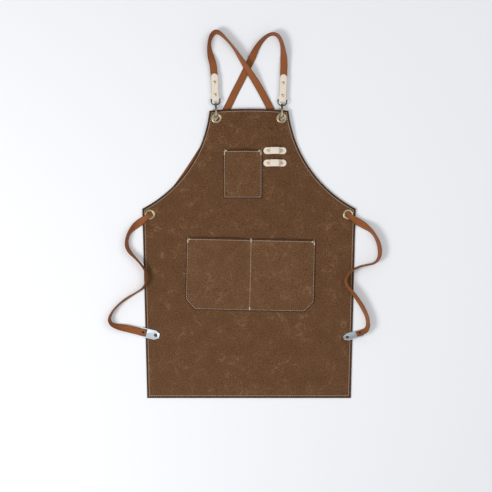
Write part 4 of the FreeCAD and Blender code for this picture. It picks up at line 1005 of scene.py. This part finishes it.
def leather_material(title):
    """Natural leather: soft pores, faint clouds and a smooth waxed face."""
    finish = Finish(title, 85.0, 900.0, 110.0)
    tree, tint = finish.tree, colours().leather
    pores = put(tree, "ShaderNodeTexVoronoi", feature="DISTANCE_TO_EDGE")
    feed(tree, pores, "Vector", finish.spot)
    feed(tree, pores, "Scale", 1100.0)
    cell = between(tree, pores.outputs["Distance"], 0.0, 0.12)
    tan = tuple(channel * share for channel, share in zip(tint, (0.93, 0.86, 0.76)))
    light = weighted(tree, (finish.patches, 0.35), (finish.lines, 0.15))
    height = weighted(tree, (finish.flecks, 0.8), start=cell)
    return finish.coat(blend_colour(tree, light, tint, tan), (0.42, 0.62), height, 0.35, 0.0002)


def thread_material(title):
    """Thick cotton thread with a fine twist."""
    finish = Finish(title, 90.0, 1500.0, 200.0)
    tint = colours().thread
    share = weighted(finish.tree, (finish.patches, 0.6))
    base = blend_colour(finish.tree, share, tint, scaled(tint, 0.7))
    return finish.coat(base, (0.6, 0.8), finish.flecks, 0.5, 0.0002)


def metal_finish(title, tint, tarnish):
    """A metal in the making and its colour: a cloudy tarnish with fine scratches."""
    finish = Finish(title, 160.0, 1400.0, 240.0)
    dull = weighted(finish.tree, (finish.patches, tarnish), (finish.lines, tarnish * 0.5))
    return finish, blend_colour(finish.tree, dull, tint, scaled(tint, 0.35))


def metal_coat(finish, base, polish, metallic=1.0):
    """The metal's uneven polish."""
    return finish.coat(base, (polish, polish + 0.18), finish.flecks, 0.12, 0.0001,
                       uneven=finish.patches, Metallic=metallic)


def metal_material(title, tint, tarnish, polish, metallic=1.0):
    """Metal with a cloudy tarnish, fine scratches and uneven polish."""
    return metal_coat(*metal_finish(title, tint, tarnish), polish, metallic)


def hook_material(title):
    """Snap hook metal with painted reflection: dark at the swivel neck, bright brass along the arm.
    """
    finish, bright = metal_finish(title, colours().brass, 0.5)
    low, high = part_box("left_snap_hook")
    reach = high.y - low.y
    # painted reflection: the neck is darkened and the arm left bright, as they reflect the room's
    # light
    neck = between(finish.tree, split(finish.tree, finish.spot)["Y"], low.y + 0.30 * reach,
                   low.y + 0.62 * reach)
    share = calculate(finish.tree, "MULTIPLY", neck, 0.9)
    base = blend_colour(finish.tree, share, bright, scaled(colours().bronze, 1.3))
    return metal_coat(finish, base, 0.3)


def material(name):
    """A finish by name, made once."""
    tint = colours()
    makers = {
        "canvas": ("waxed_canvas", canvas_material, -0.03),
        "pocket": ("pocket_canvas", canvas_material, 0.06),
        "webbing": ("strap_webbing", webbing_material),
        "leather": ("natural_leather", leather_material),
        "thread": ("topstitch_thread", thread_material),
        "hook": ("hook_metal", hook_material),
        "brass": ("brass_metal", metal_material, tint.brass, 0.45, 0.28),
        "old_brass": ("old_brass_metal", metal_material, scaled(tint.brass, 0.92), 0.7, 0.3),
        "bronze": ("bronze_metal", metal_material, tint.bronze, 0.5, 0.34),
        "steel": ("steel_metal", metal_material, (0.55, 0.55, 0.56), 0.2, 0.3),
        "plate": ("plate_metal", metal_material, tint.plate, 0.12, 0.4, 0.55),
        "black": ("black_metal", metal_material, (0.03, 0.035, 0.035), 0.3, 0.35),
    }
    title, maker, *values = makers[name]
    return bpy.data.materials.get(title) or maker(title, *values)


# ---------------------------------------------------------------- operators
class MakeStage(bpy.types.Operator):
    """Lay the pale floor, the soft lights and the camera above the apron"""
    bl_idname = "apron.make_stage"
    bl_label = "Stage"

    def execute(self, context):
        scene = context.scene
        stage = scene.apron_stage
        mesh = bpy.data.meshes.new("floor")
        half = stage.floor / 2
        corners = [(-half, -half, 0), (half, -half, 0), (half, half, 0), (-half, half, 0)]
        mesh.from_pydata(corners, [], [(0, 1, 2, 3)])
        finish = bpy.data.materials.new("pale_floor")
        finish.use_nodes = True
        shader = finish.node_tree.nodes["Principled BSDF"]
        shader.inputs["Base Color"].default_value = (*stage.floor_colour, 1.0)
        shader.inputs["Roughness"].default_value = 0.9
        floor = new_object("floor", mesh, finish)
        floor.location.z = FLOOR_GAP
        world = bpy.data.worlds.new("studio")
        world.use_nodes = True
        sky = world.node_tree.nodes["Background"].inputs
        sky["Color"].default_value = (0.93, 0.96, 1.0, 1.0)
        sky["Strength"].default_value = stage.sky
        scene.world = world
        for name, place, size, power in (
            ("key_light", (-2.4, -1.0, 2.3), 1.2, stage.key),
            ("fill_light", (2.0, 0.8, 3.2), 2.6, stage.fill),
        ):
            lamp = bpy.data.lights.new(name, "AREA")
            lamp.shape = "DISK"
            lamp.size = size
            lamp.energy = power
            holder = bpy.data.objects.new(name, lamp)
            holder.location = place
            holder.rotation_euler = (-Vector(place)).to_track_quat("-Z", "Y").to_euler()
            scene.collection.objects.link(holder)
        lens = bpy.data.cameras.new("camera")
        lens.lens = stage.lens
        lens.sensor_width = 36.0
        camera = bpy.data.objects.new("camera", lens)
        span = stage.view_width * stage.lens / lens.sensor_width
        camera.location = (stage.view_x, stage.view_y, span)
        scene.collection.objects.link(camera)
        scene.camera = camera
        scene.view_settings.view_transform = "Standard"
        return {"FINISHED"}


class MakeStraps(bpy.types.Operator):
    """Weave the two webbing straps along their routes and fix their end plates"""
    bl_idname = "apron.make_straps"
    bl_label = "Straps and end plates"

    def execute(self, context):
        strap = context.scene.apron_straps
        other = {"left": "right", "right": "left"}
        for side, route in (("left", LEFT_TAB_STRAP), ("right", RIGHT_TAB_STRAP)):
            far = other[side]
            plate = refined(f"{far}_strap_end_plate", "root", "plate",
                            bevel=0.0004)
            cap = dress(f"{far}_plate_rivet_cap", "black")
            post = dress(f"{far}_plate_rivet_post", "black")
            mesh, line = strap_mesh(f"{side}_strap", route, strap.width, strap.thickness)
            piece = new_object(f"{side}_strap", mesh, material("webbing"))
            finish_piece(piece, "root", [f"{side}_webbing_strap"])
        return {"FINISHED"}


class MakePanel(bpy.types.Operator):
    """Lay the hemmed canvas panel with its topstitching"""
    bl_idname = "apron.make_panel"
    bl_label = "Canvas panel"

    def execute(self, context):
        s, stitch = sizes(), context.scene.apron_stitches
        x, y, edge = panel_grids()
        front, back = folded_faces(panel_top(x, y, edge), edge, s.cloth, s.hem)
        mesh = cloth_mesh("panel_cloth", x, y, front, back, edge, grommet_holes())
        piece = new_object("panel_cloth", mesh, material("canvas"))
        finish_piece(piece, "root", ["apron_panel"])
        rows = stitch_rows("panel_topstitch", [panel_seam_path()], stitch.pitch, stitch.run,
                           stitch.thread)
        return {"FINISHED"}


class MakePockets(bpy.types.Operator):
    """Sew the chest pocket and the divided lower pocket to the panel"""
    bl_idname = "apron.make_pockets"
    bl_label = "Pockets"

    def execute(self, context):
        s, stitch = sizes(), context.scene.apron_stitches
        for name, node, pocket in (("chest_pocket_cloth", "chest_pocket", chest()),
                                   ("lower_pocket_cloth", "lower_pocket", lower())):
            piece = new_object(name, pocket.mesh(name), material("pocket"))
            finish_piece(piece, "root", [node])
            rows = stitch_rows(f"{node}_topstitch", pocket.seam_paths(), stitch.pitch, stitch.run,
                               stitch.thread)
            end = pocket.depth - 0.007
            beside = pocket.half - 0.0035
            tacks = [pocket.tack(place, down=0.006, along=0.010, wide=0.0026)
                     for place in pocket.dividers]
            tacks += [pocket.tack(place, down=end, along=0.006, wide=0.0026)
                      for place in pocket.dividers]
            tacks += [pocket.tack(side * beside, down=0.0115, along=0.007, wide=0.0024)
                      for side in (-1, 1)]
            bars = stitch_rows(f"{node}_bar_tacks", tacks, stitch.thread * 1.1, stitch.run * 0.6,
                               stitch.thread * 0.8)
        return {"FINISHED"}


class MakeLeather(bpy.types.Operator):
    """Cut the leather tabs of the straps and the two pen loops"""
    bl_idname = "apron.make_leather"
    bl_label = "Leather tabs and loops"

    def execute(self, context):
        for node in ("left_leather_tab", "right_leather_tab", "pen_loop_upper", "pen_loop_lower"):
            refined(node, "root", "leather", bevel=0.0005)
        return {"FINISHED"}


class MakeFittings(bpy.types.Operator):
    """Finish the grommets, the rivets and the swivel snap hooks"""
    bl_idname = "apron.make_fittings"
    bl_label = "Grommets, rivets and hooks"

    def execute(self, context):
        for name in GROMMETS:
            dress(f"{name}_grommet", "old_brass")
            dress(f"{name}_grommet_washer", "old_brass")
        for name in ("chest_pocket_rivet", "lower_pocket_rivet", "pen_loop_rivet",
                     "left_tab_rivet", "right_tab_rivet"):
            dress(f"{name}_caps", "brass")
            dress(f"{name}_posts", "brass")
        for side in SIDES:
            dress(f"{side}_hook_swivel_eye", "bronze")
            refined(f"{side}_snap_hook", f"{side}_hook", "hook",
                    bevel=0.0003)
            refined(f"{side}_hook_gate", f"{side}_gate", "hook",
                    bevel=0.0003)
            dress(f"{side}_gate_spring", "steel")
            dress(f"{side}_gate_pin", "steel")
        return {"FINISHED"}


class ApronPanel(bpy.types.Panel):
    """Shows the apron's settings and the buttons that make its pieces in the sidebar"""
    bl_idname = "VIEW3D_PT_apron"
    bl_label = "Bib Apron"
    bl_space_type = "VIEW_3D"
    bl_region_type = "UI"
    bl_category = "Apron"

    def draw(self, context):
        for name in GROUPS:
            settings = getattr(context.scene, name)
            box = self.layout.box()
            for key in settings.bl_rna.properties.keys():
                if key not in ("rna_type", "name"):
                    box.prop(settings, key)
        for operator in OPERATORS:
            self.layout.operator(operator.bl_idname)


GROUPS = {
    "apron_sizes": ApronSizes,
    "apron_pockets": PocketSizes,
    "apron_stitches": StitchSizes,
    "apron_straps": StrapSizes,
    "apron_colours": FinishColours,
    "apron_stage": StageSettings,
}
OPERATORS = (MakeStage, MakeStraps, MakePanel, MakePockets, MakeLeather, MakeFittings)


def register():
    """Register the settings, the operators and the panel."""
    for name, group in GROUPS.items():
        bpy.utils.register_class(group)
        setattr(bpy.types.Scene, name, PointerProperty(type=group))
    for item in (*OPERATORS, ApronPanel):
        bpy.utils.register_class(item)


def unregister():
    """Undo register."""
    for item in (ApronPanel, *reversed(OPERATORS)):
        bpy.utils.unregister_class(item)
    for name, group in reversed(GROUPS.items()):
        delattr(bpy.types.Scene, name)
        bpy.utils.unregister_class(group)


def main():
    """Register the add-on and make the whole apron."""
    register()
    for operator in OPERATORS:
        group, name = operator.bl_idname.split(".")
        getattr(getattr(bpy.ops, group), name)()


if __name__ == "__main__":
    main()
